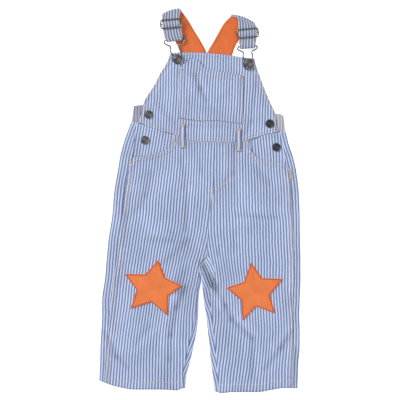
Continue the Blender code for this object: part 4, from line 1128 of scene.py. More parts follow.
def pocket_rows():
    """Rows of the bib pocket: the bib's own surface moved out, its upper left corner lifted."""
    edge = [d / POCKET_WIDE for d in (0.0, 1.4, 3.0, 5.5, 7.4, 8.8)]
    inner = 11.0 / POCKET_WIDE
    steps = edge + spread(inner, 1 - inner, 34) + [1 - d for d in reversed(edge)]
    shares = [d / POCKET_TALL for d in (0.0, 1.5, 5.0, 9.0, 11.0, 12.2, 13.4, 14.8)]
    shares += spread(18.0 / POCKET_TALL, 1 - 3.0 / POCKET_TALL, 26) + [1.0]
    rows = []
    for share in shares:
        row = []
        for step in steps:
            x, y = pocket_point(step, share)
            hem = smooth((y - pocket_hem(x) + 0.6) / STEP_SOFT)
            from_side = min(step, 1 - step) * POCKET_WIDE
            side_band = smooth((8.2 - from_side) / STEP_SOFT)
            z = bib_top_at(x, y) + pocket_rise(step * POCKET_WIDE, share * POCKET_TALL)
            z += pocket_lift(x, share) + 0.35 * max(hem, side_band) - pocket_press(from_side, share)
            row.append((x, y, z, BIB_SPREAD * x + POCKET_SHIFT - drift("bib", x, y), y, painted_crease_shade(x, y)))
        rows.append(row)
    return rows


def pocket_press(from_side, share):
    """How far the pocket's sewn edges are pressed down, most at its foot."""
    low = (1 - share) * POCKET_TALL
    return max(POCKET_FOOT_PRESS * bell(low, 2.4), POCKET_SIDE_PRESS * bell(from_side, 2.0))


def pocket_skin(x, y):
    """Height of the pocket's face at a point, for what is sewn on it."""
    top = POCKET_TOP_EDGE(x)
    share = clamp((top - y) / (top - POCKET_LOW_EDGE(x)))
    rise = pocket_rise(x - POCKET_TOP[0][0], share * POCKET_TALL)
    from_side = min(x - POCKET_TOP[0][0], POCKET_TOP[-1][0] - x)
    return bib_top_at(x, y) + rise + pocket_lift(x, share) + 0.3 - pocket_press(from_side, share)


def belt_loop_rows(side):
    """Rows down a belt loop, from the bib over the waist seam to the front panel."""
    x_mid, y_top, y_low = BELT_LOOP[side]
    rows = []
    for share in spread(0.0, 1.0, 26):
        y = mix(y_top, y_low, share)
        row = []
        for x in spread(x_mid - BELT_LOOP_HALF_WIDTH, x_mid + BELT_LOOP_HALF_WIDTH, 8):
            across = (x - x_mid) / BELT_LOOP_HALF_WIDTH
            row.append((x, y, loop_skin(side, x, y) - 0.35 * across ** 4, 0.66 * (x - x_mid), y))
        rows.append(row)
    return rows


def loop_skin(side, x, y):
    x_mid, y_top, y_low = BELT_LOOP[side]
    share = clamp((y_top - y) / (y_top - y_low))
    under = bib_top_at(x_mid, y) if y > WAIST(x) else front_skin(side, x_mid, y)
    arch = BELT_LOOP_ARCH * math.sin(math.pi * share)
    return max(under, RISE) + LAP + WALL + arch - 0.2


def across_line(line, columns, z, offset=(0.0, 0.0), bow=0.0):
    """Points across a strap between its two edges. A bow pushes the middle towards the shoulder."""
    left_x, left_y, right_x, right_y = line[:4]
    up = inward_of(line[:4], towards_hem=False)
    points = []
    for t in spread(0.0, 1.0, columns):
        push = 4 * bow * t * (1 - t)
        x = mix(left_x, right_x, t) + offset[0] + up[0] * push
        y = mix(left_y, right_y, t) + offset[1] + up[1] * push
        points.append((x, y, z))
    return points


def inward_of(line, towards_hem):
    """The unit vector across a fold line, towards the hem or towards the shoulder."""
    left_x, left_y, right_x, right_y = line
    long = math.hypot(right_x - left_x, right_y - left_y)
    across = ((right_y - left_y) / long, -(right_x - left_x) / long)
    return across if towards_hem else (-across[0], -across[1])


def strap_stations(side, inset, columns, round_hook):
    """Rows along a strap's outer face, or along a layer that lies inset inside it."""
    rows = [across_line(line, columns, inset) for line in BACK_RUN[side]]
    fold = SHOULDER_FOLD[side]
    down = inward_of(fold, towards_hem=True)
    half = SHOULDER_TOP / 2
    for degrees in range(0, 181, 30):
        turn = math.radians(degrees)
        back = half - (half - inset) * math.sin(turn)
        z = half - (half - inset) * math.cos(turn)
        bow = FOLD_BOW[side] + FOLD_RISE[side]
        rows.append(across_line(fold, columns, z, (down[0] * back, down[1] * back), bow))
    rows += [across_line(line, columns, line[4] - inset) for line in FRONT_RUN[side]]
    if not round_hook:
        return rows
    line = HOOK_TURN[side]
    up = inward_of(line, towards_hem=False)
    half = (HOOK_TOP - RETURN_LEVEL) / 2
    middle = (HOOK_TOP + RETURN_LEVEL) / 2
    for degrees in range(0, 181, 30):
        turn = math.radians(degrees)
        back = half * (1 - math.sin(turn))
        z = middle + half * math.cos(turn)
        rows.append(across_line(line, columns, z, (up[0] * back, up[1] * back)))
    rows.append(across_line(RETURN_END[side], columns, RETURN_LEVEL))
    return rows


def through(p0, p1, p2, p3, t):
    """A point on the smooth curve from p1 to p2."""
    p0, p1, p2, p3 = (Vector(p) for p in (p0, p1, p2, p3))
    return 0.5 * (2 * p1 + (p2 - p0) * t + (2 * p0 - 5 * p1 + 4 * p2 - p3) * t * t
                  + (3 * p1 - p0 - 3 * p2 + p3) * t * t * t)


def strap_rows(side, inset, round_hook):
    """The strap's rows, closer together and smoothed along it."""
    stations = strap_stations(side, inset, STRAP_STRIPS, round_hook)
    left_more, right_more = SLIDE_SPREAD[side]
    run = 0.0
    rows = []
    last = None
    for i in range(len(stations) - 1):
        four = four_round(stations, i)
        gap = (Vector(four[1][STRAP_MIDDLE]) - Vector(four[2][STRAP_MIDDLE])).length
        steps = max(2, round(gap / STRAP_STEP))
        for step in range(steps + (i == len(stations) - 2)):
            t = step / steps
            points = [through(*(row[c] for row in four), t) for c in range(STRAP_STRIPS + 1)]
            if last is not None:
                run += (points[STRAP_MIDDLE] - last).length
            last = points[STRAP_MIDDLE]
            for c, point in enumerate(points):
                point.z = max(point.z, inset)
                if point.z > SLIDE_SPREAD_ABOVE:
                    near_slide = bell(point.y - SLIDE_CENTRE[side][1], SLIDE_SPREAD_REACH)
                    point.x += near_slide * mix(-left_more, right_more, c / STRAP_STRIPS)
            wide = (points[-1] - points[0]).length
            rows.append([(*point, wide * (c / STRAP_STRIPS - 0.5), run) for c, point in enumerate(points)])
    return rows


def rounded_loop(points, steps):
    """Points on a smooth closed curve through the given ones."""
    count = len(points)
    out = []
    for i in range(count):
        four = [points[(i + k) % count] for k in (-1, 0, 1, 2)]
        out += [through(*four, step / steps) for step in range(steps)]
    return out


# Materials


class Nodes:
    """A material's node tree, built by short calls."""

    def __init__(self, name):
        self.material = bpy.data.materials.new(name)
        self.material.use_nodes = True
        self.tree = self.material.node_tree
        self.shader = self.tree.nodes["Principled BSDF"]

    def node(self, kind, **inputs):
        node = self.tree.nodes.new(kind)
        for key, value in inputs.items():
            self.give(node.inputs[key.replace("_", " ")], value)
        return node

    def give(self, socket, value):
        if isinstance(value, bpy.types.NodeSocket):
            self.tree.links.new(value, socket)
        else:
            socket.default_value = value

    def math(self, operation, a, b):
        node = self.tree.nodes.new("ShaderNodeMath")
        node.operation = operation
        for socket, value in zip(node.inputs, (a, b)):
            self.give(socket, value)
        return node.outputs[0]

    def blend(self, share, a, b):
        node = self.tree.nodes.new("ShaderNodeMix")
        node.data_type = "RGBA"
        self.give(node.inputs[0], share)
        self.give(node.inputs[6], (*a, 1.0) if isinstance(a, tuple) else a)
        self.give(node.inputs[7], (*b, 1.0) if isinstance(b, tuple) else b)
        return node.outputs[2]

    def noise(self, vector, scale, detail=2.0):
        node = self.node("ShaderNodeTexNoise", Vector=vector, Scale=scale, Detail=detail)
        return node.outputs["Fac"]

    def ramp(self, value, low, high, start=0.0, end=1.0):
        node = self.tree.nodes.new("ShaderNodeMapRange")
        node.interpolation_type = "SMOOTHSTEP"
        for socket, given in zip(node.inputs, (value, low, high, start, end)):
            self.give(socket, given)
        return node.outputs[0]

    def cloth_places(self):
        """Distances in millimetres across and along the cloth, and both as a vector."""
        uv = self.tree.nodes.new("ShaderNodeUVMap")
        uv.uv_map = "cloth"
        place = self.scaled(uv.outputs[0], UV_UNIT)
        split = self.node("ShaderNodeSeparateXYZ", Vector=place)
        return split.outputs[0], split.outputs[1], place

    def object_place(self):
        return self.tree.nodes.new("ShaderNodeTexCoord").outputs["Object"]

    def scaled(self, vector, by):
        node = self.tree.nodes.new("ShaderNodeVectorMath")
        node.operation = "SCALE"
        self.give(node.inputs[0], vector)
        self.give(node.inputs["Scale"], by)
        return node.outputs[0]

    def moved(self, value, noise, by):
        """The value moved to and fro by a noise, which is a half on average."""
        return self.math("ADD", value, self.math("MULTIPLY", self.math("SUBTRACT", noise, 0.5), by))

    def stretched(self, vector, x, y):
        node = self.tree.nodes.new("ShaderNodeVectorMath")
        node.operation = "MULTIPLY"
        self.give(node.inputs[0], vector)
        node.inputs[1].default_value = (x, y, 1.0)
        return node.outputs[0]

    def finish(self, colour, height, distance, roughness, sheen=0.0, metallic=0.0, specular=0.5):
        bump = self.node("ShaderNodeBump", Height=height, Strength=1.0, Distance=distance * MM)
        self.give(self.shader.inputs["Base Color"], colour)
        self.give(self.shader.inputs["Normal"], bump.outputs[0])
        self.give(self.shader.inputs["Roughness"], roughness)
        self.shader.inputs["Sheen Weight"].default_value = sheen
        self.shader.inputs["Sheen Roughness"].default_value = 0.5
        self.shader.inputs["Metallic"].default_value = metallic
        self.shader.inputs["Specular IOR Level"].default_value = specular
        return self.material


def twill(nodes, u, v, across=0.62):
    """A diagonal weave, one rib for each step across."""
    slanted = nodes.math("ADD", u, nodes.math("MULTIPLY", v, 0.8))
    return nodes.math("PINGPONG", nodes.math("DIVIDE", slanted, across), 0.5)


def striped_cloth(name, light, dark, fade):
    """Hickory stripe drill: soft edged stripes, uneven yarns and a fine twill."""
    nodes = Nodes(name)
    u, v, place = nodes.cloth_places()
    wander = nodes.noise(nodes.stretched(place, 0.05, 0.045), 1.0)
    moved = nodes.moved(u, wander, 1.8)
    wobble = nodes.noise(nodes.stretched(place, 0.16, 0.11), 1.0)
    moved = nodes.moved(moved, wobble, 0.45)
    turn = nodes.math("PINGPONG", nodes.math("DIVIDE", moved, STRIPE), 0.5)
    yarn = nodes.noise(nodes.stretched(place, 3.2, 0.07), 1.0, 3.0)
    rib = twill(nodes, u, v)
    edge = nodes.moved(turn, yarn, 0.10)
    stripe = nodes.ramp(edge, 0.17, 0.31)
    colour = nodes.blend(stripe, light, dark)
    slub = nodes.ramp(yarn, 0.3, 0.75, 0.86, 1.12)
    cloud = nodes.noise(nodes.stretched(place, 0.02, 0.014), 1.0, 3.0)
    patch = nodes.ramp(cloud, 0.3, 0.7, 1 - fade, 1 + fade)
    weave = nodes.ramp(rib, 0.05, 0.45, 0.86, 1.08)
    shade = nodes.math("MULTIPLY", nodes.math("MULTIPLY", slub, patch), weave)
    # Painted shade and painted highlight: an attribute darkens the cloth in crease troughs and in the shaded
    # crumpled places, and lightens it on crease ridges.
    painted_shade_attribute = nodes.tree.nodes.new("ShaderNodeAttribute")
    painted_shade_attribute.attribute_name = "painted_crease_shade"
    shade = nodes.math("MULTIPLY", shade, nodes.ramp(painted_shade_attribute.outputs["Fac"], PAINTED_SHADE_LOW, 0.9, 0.53, 1.1))
    lint = nodes.noise(place, 1.7, 4.0)
    height = nodes.math("ADD", rib, nodes.math("MULTIPLY", lint, 0.7))
    roughness = nodes.ramp(lint, 0.3, 0.7, 0.82, 0.95)
    return nodes.finish(nodes.scaled(colour, shade), height, 0.16, roughness, sheen=0.18, specular=0.2)


def plain_cloth(name, base, across, depth):
    """One coloured cotton with a fine weave, slight fading and lint."""
    nodes = Nodes(name)
    u, v, place = nodes.cloth_places()
    rib = twill(nodes, u, v, across)
    yarn = nodes.noise(nodes.stretched(place, 2.6, 0.5), 1.0, 3.0)
    patch = nodes.noise(nodes.stretched(place, 0.045, 0.045), 1.0, 3.0)
    slub = nodes.ramp(yarn, 0.3, 0.75, 0.9, 1.08)
    shade = nodes.math("MULTIPLY", slub, nodes.ramp(patch, 0.3, 0.7, 0.93, 1.07))
    shade = nodes.math("MULTIPLY", shade, nodes.ramp(rib, 0.05, 0.45, 0.9, 1.05))
    lint = nodes.noise(place, 1.5, 4.0)
    height = nodes.math("ADD", rib, nodes.math("MULTIPLY", lint, 0.8))
    roughness = nodes.ramp(lint, 0.3, 0.7, 0.8, 0.95)
    return nodes.finish(nodes.scaled(base, shade), height, depth, roughness, sheen=0.22, specular=0.2)


def times(colour, by):
    return tuple(min(by * c, 1.0) for c in colour)


def thread(name, base):
    """Sewing thread with a tight twist."""
    nodes = Nodes(name)
    place = nodes.object_place()
    twist = nodes.noise(place, 2600.0, 2.0)
    colour = nodes.blend(nodes.ramp(twist, 0.3, 0.7), times(base, 0.8), times(base, 1.12))
    return nodes.finish(colour, twist, 0.1, 0.7, sheen=0.15, specular=0.3)


def metal(name, base, roughness):
    """Dark plated metal with worn, cloudy patches."""
    nodes = Nodes(name)
    place = nodes.object_place()
    cloud = nodes.noise(place, 260.0, 3.0)
    grain = nodes.noise(place, 2600.0, 2.0)
    colour = nodes.blend(nodes.ramp(cloud, 0.35, 0.7), times(base, 0.85), times(base, 1.25))
    rough = nodes.ramp(cloud, 0.3, 0.7, roughness - 0.05, roughness + 0.08)
    return nodes.finish(colour, grain, 0.03, rough, metallic=0.9)


def plain_floor():
    nodes = Nodes("pale_floor")
    place = nodes.object_place()
    haze = nodes.noise(place, 2.0, 2.0)
    colour = nodes.blend(haze, (0.90, 0.90, 0.90), (0.92, 0.92, 0.92))
    nodes.shader.inputs["Emission Color"].default_value = (1.0, 1.0, 1.0, 1.0)
    nodes.shader.inputs["Emission Strength"].default_value = FLOOR_GLOW
    return nodes.finish(colour, haze, 0.01, 0.9, specular=0.1)


FINISH = {
    "stripe": striped_cloth("hickory_stripe", LIGHT_STRIPE, DARK_STRIPE, 0.07),
    "strap": striped_cloth("hickory_stripe_strap", STRAP_LIGHT, STRAP_DARK, 0.06),
    "loop": striped_cloth("hickory_stripe_loop", LOOP_LIGHT, LOOP_DARK, 0.06),
    # The wrong side in two copies: painted darker for the left tab and painted lighter for the right tab.
    "wrong_left": striped_cloth("hickory_stripe_wrong_left", WRONG_LIGHT[LEFT], WRONG_DARK[LEFT], 0.05),
    "wrong_right": striped_cloth("hickory_stripe_wrong_painted_light", WRONG_LIGHT[RIGHT], WRONG_DARK[RIGHT], 0.05),
    "star": plain_cloth("orange_patch", ORANGE, 0.7, 0.14),
    "lining": plain_cloth("orange_lining", LINING, 0.55, 0.1),
    "thread": thread("tan_thread", THREAD),
    "tack": thread("tack_thread", TACK),
    "orange_thread": thread("orange_thread", ORANGE_THREAD),
    "bib_button": metal("pewter_bib_button", BIB_BUTTON, 0.42),
    "painted_lit_button": metal("pewter_button_painted_light", PAINTED_LIT_BUTTON, 0.55),
    "painted_shaded_button": metal("pewter_button_painted_shade", PAINTED_SHADED_BUTTON, 0.55),
    "wire": metal("plated_wire", WIRE, 0.33),
}


# Making pieces


# The left side buttons take the plating painted lighter as lit, the right ones the plating painted darker as
# shaded.
BUTTON_FINISH = {
    "upper_left": "painted_lit_button",
    "lower_left": "painted_lit_button",
    "upper_right": "painted_shaded_button",
    "lower_right": "painted_shaded_button",
}


def smooth_mesh(name, points, faces):
    mesh = bpy.data.meshes.new(name)
    mesh.from_pydata(points, [], faces)
    mesh.shade_smooth()
    return mesh


def add_piece(name, data, finish, replaced=()):
    obj = bpy.data.objects.new(name, data)
    bpy.context.scene.collection.objects.link(obj)
    data.materials.append(FINISH[finish])
    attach(obj, "root")
    if replaced:
        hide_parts(*replaced)
    return obj


def cloth(name, node, rows, finish, flip=True, sewn=(), even=True):
    """A cloth piece through rows of points with their places on the cloth, and its wall."""
    number = {}
    points = []
    places = []
    painted_shades = []
    for r, row in enumerate(rows):
        for c, point in enumerate(row):
            if point is None:
                continue
            number[r, c] = len(points)
            points.append([value * MM for value in point[:3]])
            places.append((point[3] / UV_UNIT, point[4] / UV_UNIT))
            # A sixth value, where given, is the painted crease shade.
            painted_shades.append(point[5] if len(point) > 5 else 0.0)
    faces = []
    for r in range(len(rows) - 1):
        for c in range(len(rows[r]) - 1):
            corners = [(r, c), (r, c + 1), (r + 1, c + 1), (r + 1, c)]
            if all(corner in number for corner in corners):
                face = [number[corner] for corner in corners]
                faces.append(face[::-1] if flip else face)
    mesh = smooth_mesh(name, points, faces)
    layer = mesh.uv_layers.new(name="cloth")
    for loop in mesh.loops:
        layer.data[loop.index].uv = places[loop.vertex_index]
    mesh.attributes.new("painted_crease_shade", "FLOAT", "POINT").data.foreach_set("value", painted_shades)
    obj = add_piece(name, mesh, finish, [node])
    wall = obj.modifiers.new("wall", "SOLIDIFY")
    wall.thickness = CLOTH * MM
    wall.offset = -1.0
    wall.use_even_offset = even
    return obj


def flat_rows(top, bottom, across, down, z_at):
    """Rows between an upper and a lower edge, each a list of corner points."""
    def along(edge, t):
        lengths = [math.dist(a, b) for a, b in zip(edge, edge[1:])]
        want = t * sum(lengths)
        for (a, b), long in zip(zip(edge, edge[1:]), lengths):
            if want <= long or (a, b) == (edge[-2], edge[-1]):
                share = min(want / long, 1.0)
                return mix(a[0], b[0], share), mix(a[1], b[1], share)
            want -= long
        return edge[-1]

    rows = []
    for share in spread(0.0, 1.0, down):
        row = []
        for t in spread(0.0, 1.0, across):
            a, b = along(top, t), along(bottom, t)
            x, y = mix(a[0], b[0], share), mix(a[1], b[1], share)
            row.append((x, y, z_at(x, y), x, y))
        rows.append(row)
    return rows


class Sewing:
    """One mesh of many short threads."""

    def __init__(self):
        self.points = []
        self.faces = []

    def strand(self, start, end, radius, arch):
        """A short thread with tapered ends, raised in its middle."""
        start, end = Vector(start), Vector(end)
        along = (end - start).normalized()
        side = along.cross(Vector((0, 0, 1)))
        if side.length < 0.1:
            return
        side.normalize()
        up = side.cross(along)
        first = len(self.points)
        rings = ((0.0, 0.45, 0.0), (0.18, 0.9, 0.7), (0.5, 1.0, 1.0), (0.82, 0.9, 0.7), (1.0, 0.45, 0.0))
        for t, size, rise in rings:
            middle = start.lerp(end, t) + up * arch * rise
            for corner in range(6):
                turn = math.radians(60 * corner)
                point = middle + (side * math.cos(turn) + up * math.sin(turn)) * radius * size
                self.points.append(point * MM)
        for ring in range(len(rings) - 1):
            for corner in range(6):
                a = first + ring * 6 + corner
                b = first + ring * 6 + (corner + 1) % 6
                self.faces.append((a, b, b + 6, a + 6))
        self.faces.append(tuple(first + c for c in reversed(range(6))))
        last = first + 6 * (len(rings) - 1)
        self.faces.append(tuple(last + c for c in range(6)))

    def line(self, path, height_at, long=STITCH_LONG, gap=STITCH_GAP, radius=STITCH_RADIUS):
        """A row of stitches along a path of (x, y) points, on the cloth."""
        lengths = [0.0]
        for a, b in zip(path, path[1:]):
            lengths.append(lengths[-1] + math.dist(a, b))
        if lengths[-1] < long:
            return
        count = max(1, round(lengths[-1] / (long + gap)))
        pitch = lengths[-1] / count

        def at(run):
            i = min(max(bisect_right(lengths, run) - 1, 0), len(path) - 2)
            t = (run - lengths[i]) / max(lengths[i + 1] - lengths[i], 1e-6)
            x, y = mix(path[i][0], path[i + 1][0], t), mix(path[i][1], path[i + 1][1], t)
            return x, y, height_at(x, y) + radius * 0.5 - STITCH_SINK

        for i in range(count):
            start = i * pitch + (pitch - long * pitch / (long + gap)) / 2
            self.strand(at(start), at(start + long * pitch / (long + gap)), radius, radius * 0.4)

    def tack(self, x, y, long, degrees, height_at):
        """A bartack: threads side by side across a short line."""
        turn = math.radians(degrees)
        dx, dy = math.cos(turn), math.sin(turn)
        count = max(3, round(long / TACK_PITCH))
        for i in range(count):
            shift = (i - (count - 1) / 2) * long / count
            cx, cy = x + dx * shift, y + dy * shift
            lean = 0.25 if i % 2 else -0.25
            ends = []
            for way in (-1, 1):
                px = cx - dy * TACK_WIDE / 2 * way + dx * lean * way
                py = cy + dx * TACK_WIDE / 2 * way + dy * lean * way
                ends.append((px, py, height_at(px, py) + 0.25))
            self.strand(ends[0], ends[1], TACK_THREAD, 0.25)

    def piece(self, name, finish, slot):
        return add_piece(name, smooth_mesh(name, self.points, self.faces), finish)


def wire(name, points, node, cyclic=True):
    curve = bpy.data.curves.new(name, "CURVE")
    curve.dimensions = "3D"
    curve.bevel_depth = WIRE_RADIUS * MM
    curve.bevel_resolution = 4
    curve.use_fill_caps = not cyclic
    spline = curve.splines.new("POLY")
    spline.points.add(len(points) - 1)
    for point, place in zip(spline.points, points):
        point.co = (*(Vector(place) * MM), 1.0)
    spline.use_cyclic_u = cyclic
    return add_piece(name, curve, "wire", node)


def turned(name, profile, place, node, finish):
    """A round piece turned about its own upright axis, its profile smoothed."""
    steps = 4
    fine = []
    for i in range(len(profile) - 1):
        four = [(*point, 0.0) for point in four_round(profile, i)]
        fine += [through(*four, step / steps) for step in range(steps)]
    fine.append(Vector((*profile[-1], 0.0)))
    rings = 48
    points = []
    faces = []
    for point in fine:
        for step in range(rings):
            turn = 2 * math.pi * step / rings
            radius = max(point.x, 0.02)
            x, y = place[0] + radius * math.cos(turn), place[1] + radius * math.sin(turn)
            points.append((x * MM, y * MM, (place[2] + point.y) * MM))
    for ring in range(len(fine) - 1):
        for step in range(rings):
            a = ring * rings + step
            b = ring * rings + (step + 1) % rings
            faces.append((a, a + rings, b + rings, b))
    faces.append(tuple(range(rings)))
    faces.append(tuple(reversed(range((len(fine) - 1) * rings, len(fine) * rings))))
    return add_piece(name, smooth_mesh(name, points, faces), finish, [node])


def star_skin(side, dx, dy, size):
    x, y = STAR_CENTRE[side][0] + dx, STAR_CENTRE[side][1] + dy
    edge = STAR_EDGE_DROP * smooth((size - STAR_SATIN_FROM) / 0.14)
    groove = STAR_GROOVE * bell(STAR_GROOVE_AT - size, STAR_GROOVE_WIDE)
    return x, y, front_skin(side, x, y) + LAP + WALL - 0.1 - edge - groove


def star(side):
    """A knee patch: rings from its middle out to the five pointed outline."""
    edge = []
    outline = STAR_CORNERS[side]
    for (ax, ay), (bx, by) in zip(outline, outline[1:] + outline[:1]):
        edge += [(mix(ax, bx, t), mix(ay, by, t)) for t in spread(0.0, 1.0, 12)[:-1]]
    edge.append(edge[0])
    sizes = [0.001] + spread(0.05, STAR_SATIN_FROM, 15) + [0.89, 0.905, 0.92, 0.935, 0.95, 0.965, 0.985, 1.0]
    rows = []
    for size in sizes:
        row = []
        for dx, dy in edge:
            x, y, z = star_skin(side, dx * size, dy * size, size)
            row.append((x, y, z, dx * size, dy * size))
        rows.append(row)
    sewing = Sewing()
    middle_x, middle_y = STAR_CENTRE[side]
    path = [(middle_x + dx * STAR_SEWN_AT, middle_y + dy * STAR_SEWN_AT) for dx, dy in edge]

    def height(x, y):
        return star_skin(side, x - middle_x, y - middle_y, STAR_SEWN_AT)[2] + 0.1

    sewing.line(path, height, long=1.5, gap=0.3, radius=0.72)
    name = SIDE_NAME[side]
    stitches = sewing.piece("star_stitches_" + name, "orange_thread", "orange_cloth")
    cloth("star_patch_" + name, "star_" + name, rows, "star", flip=False,
          sewn=[stitches])


def offset_path(path, away):
    """The path moved sideways, to the left of its direction where away is positive."""
    out = []
    for i, (x, y) in enumerate(path):
        ax, ay = path[max(i - 1, 0)]
        bx, by = path[min(i + 1, len(path) - 1)]
        long = math.hypot(bx - ax, by - ay)
        out.append((x - (by - ay) / long * away, y + (bx - ax) / long * away))
    return out


def leg_stitches(side):
    """The sewing on one front panel and round its hem."""
    name = SIDE_NAME[side]
    sewing = Sewing()

    def skin(x, y):
        return front_skin(side, x, y)

    curve_x, curve_y, _ = OPENING_CURVES[side]
    low_end = OPENING[side][-1][1]
    side_seam = LEG[side]["side_seam"]
    hem_end = HEM[side](side_seam(NEAR_HEM_Y)) + 1.0
    seam = [(side_seam(y), y) for y in spread(low_end - 4.0, hem_end, 60)]
    for away in (1.5, 6.2):
        sewing.line([(x - side * away, y) for x, y in seam], skin)
    scoop = [(curve_x(p), curve_y(p)) for p in spread(0.12, len(OPENING[side]) - 1.15, 40)]
    for away in (1.8, 5.6):
        sewing.line(offset_path(scoop, -side * away), skin)
    if side == LEFT:
        inseam = [(LEG[side]["front_edge"](y) + side * 1.8, y) for y in spread(-89.0, -124.0, 12)]
        sewing.line(inseam, skin)
    outer, inner = LEG[side]["outer"](NEAR_HEM_Y), LEG[side]["inner"](NEAR_HEM_Y)
    hem = [(x, HEM[side](x) + HEM_BAND - GROOVE_IN)
           for x in spread(outer - side * 4.0, inner + side * 4.0, 40)]
    sewing.line(hem, skin)
    x_low = HEM_JOIN_X[side]
    y_low = HEM[side](x_low)
    sewing.line([(x_low, y_low + 1.5), (x_low, y_low + HEM_BAND - 2.0)], skin)
    return sewing.piece("leg_stitches_" + name, "thread", "striped_cloth")


def fly_stitches():
    """The curved double row that marks the fly."""
    sewing = Sewing()
    fine = []
    for i in range(len(FLY_LINE) - 1):
        four = [(*point, 0.0) for point in four_round(FLY_LINE, i)]
        fine += [tuple(through(*four, t)[:2]) for t in (0.0, 0.25, 0.5, 0.75)]
    fine.append(FLY_LINE[-1])
    for away in FLY_ROWS:
        sewing.line(offset_path(fine, away), lambda x, y: front_skin(RIGHT, x, y))
    return sewing.piece("fly_stitches", "thread", "striped_cloth")


def bib_stitches():
    sewing = Sewing()
    places = spread(0.25, len(BIB) - 1.05, 60)
    for column, way in ((0, 1), (3, -1)):
        path = []
        for place in places:
            row = bib_row_values(place)
            x = row[column] + way * (EDGE_BAND - 1.2)
            path.append((x, bib_y(x, place, row)))
        sewing.line(path, bib_top_at)
        sewing.line([(x - way * 2.6, y) for x, y in path], bib_top_at)
    top = [(x, BIB_TOP_EDGE(x) - EDGE_BAND + 1.2) for x in spread(-44.0, 85.0, 40)]
    sewing.line(top, bib_top_at)
    for away in (1.8, 6.0):
        waist = [(x, WAIST(x) + away) for x in spread(-95.0, 124.0, 60)]
        sewing.line(waist, bib_top_at)
    return sewing.piece("bib_stitches", "thread", "striped_cloth")


def pocket_stitches():
    sewing = Sewing()
    for d in (1.5, 7.2):
        for step in (d / POCKET_WIDE, 1 - d / POCKET_WIDE):
            path = [pocket_point(step, share) for share in spread(0.05, 0.975, 30)]
            sewing.line(path, pocket_skin)
    sewing.line([pocket_point(step, 0.98) for step in spread(0.03, 0.97, 20)], pocket_skin)
    left_end, right_end = POCKET_TOP[0][0] + 8.5, POCKET_TOP[-1][0] - 8.5
    sewing.line([(x, pocket_hem(x)) for x in spread(left_end, right_end, 24)], pocket_skin)
    return sewing.piece("pocket_stitches", "thread", "striped_cloth")


def tacks():
    """Bartacks: x, y, length, angle and what each lies on."""
    left_loop, right_loop = BELT_LOOP[LEFT], BELT_LOOP[RIGHT]

    def on_loop(side):
        return lambda x, y: loop_skin(side, x, y) + 0.1

    def on_front(side):
        return lambda x, y: front_skin(side, x, y) + 0.15

    def on_pocket(x, y):
        return pocket_skin(x, y) + 0.1

    sewing = Sewing()
    for x, y, long, degrees, skin in (
        (left_loop[0], left_loop[1] - 2.0, 8.0, 0, on_loop(LEFT)),
        (left_loop[0], left_loop[2] + 2.0, 8.0, 0, on_loop(LEFT)),
        (right_loop[0], right_loop[1] - 2.0, 8.0, 0, on_loop(RIGHT)),
        (right_loop[0], right_loop[2] + 2.0, 8.0, 0, on_loop(RIGHT)),
        (-30.4, 216.6, 7.0, 14, on_pocket),
        (69.4, 202.4, 7.0, 75, on_pocket),
        (20.3, 14.9, 8.0, 80, on_front(RIGHT)),
        (-113.4, 62.5, 9.0, 100, on_front(LEFT)),
        (148.6, 44.0, 18.0, 95, on_front(RIGHT)),
        (-40.5, 96.0, 6.5, 130, on_front(LEFT)),
    ):
        sewing.tack(x, y, long, degrees, skin)
    return sewing.piece("bartacks", "tack", "striped_cloth")


def strap_stitches(side, rows, lining_rows):
    """Edge rows on the striped face, and small marks on the lining."""
    name = SIDE_NAME[side]
    for label, source, finish, slot, radius in (
        ("strap_stitches_", rows, "thread", "striped_cloth", 0.42),
        ("lining_stitches_", lining_rows, "orange_thread", "orange_cloth", 0.26),
    ):
        sewing = Sewing()
        for column in (1, STRAP_STRIPS - 1):
            path = []
            for i in range(1, len(source) - 1):
                point = Vector(source[i][column][:3])
                ahead = Vector(source[i + 1][column][:3]) - Vector(source[i - 1][column][:3])
                across = Vector(source[i][-1][:3]) - Vector(source[i][0][:3])
                out = ahead.cross(across).normalized()
                face = out * 0.15 if label == "strap_stitches_" else -out * (WALL + 0.15)
                path.append(point + face)
            run = 0.0
            start = path[0]
            for a, b in zip(path, path[1:]):
                run += (b - a).length
                if run > STITCH_LONG + STITCH_GAP:
                    sewing.strand(start.lerp(b, 0.12), start.lerp(b, 0.88), radius, 0.1)
                    start = b
                    run = 0.0
        sewing.piece(label + name, finish, slot)


def slide(side):
    """The wire slide: a long loop over the strap, and a centre bar that dips under it."""
    name = SIDE_NAME[side]
    centre_x, centre_y = SLIDE_CENTRE[side]
    tilt = math.radians(SLIDE_TILT_DEG)

    def placed(x, y, z):
        return (
            centre_x + x * math.cos(tilt) - y * math.sin(tilt),
            centre_y + x * math.sin(tilt) + y * math.cos(tilt),
            z,
        )

    loop = []
    for end in (1, -1):
        for degrees in range(-90, 91, 10):
            turn = math.radians(degrees)
            x = end * (SLIDE_BAR_HALF + SLIDE_END_REACH * math.sqrt(max(math.cos(turn), 0.0)))
            loop.append(placed(x, end * SLIDE_HALF_HEIGHT * math.sin(turn), SLIDE_LEVEL))
    low = SLIDE_LEVEL - SLIDE_BAR_DIP
    end_x = SLIDE_BAR_HALF + SLIDE_END_REACH
    dips = [(0.1, mix(SLIDE_LEVEL, low, 0.35)), (0.5, mix(SLIDE_LEVEL, low, 0.75)), (1.7, low), (4.0, low)]
    half = [(-end_x, SLIDE_LEVEL)] + [(-end_x + d, z) for d, z in dips]
    bar = [placed(x, 0.0, z) for x, z in half + [(-x, z) for x, z in reversed(half)]]
    wire("slide_loop_" + name, loop, ["slide_" + name])
    wire("slide_bar_" + name, bar, [], cyclic=False)


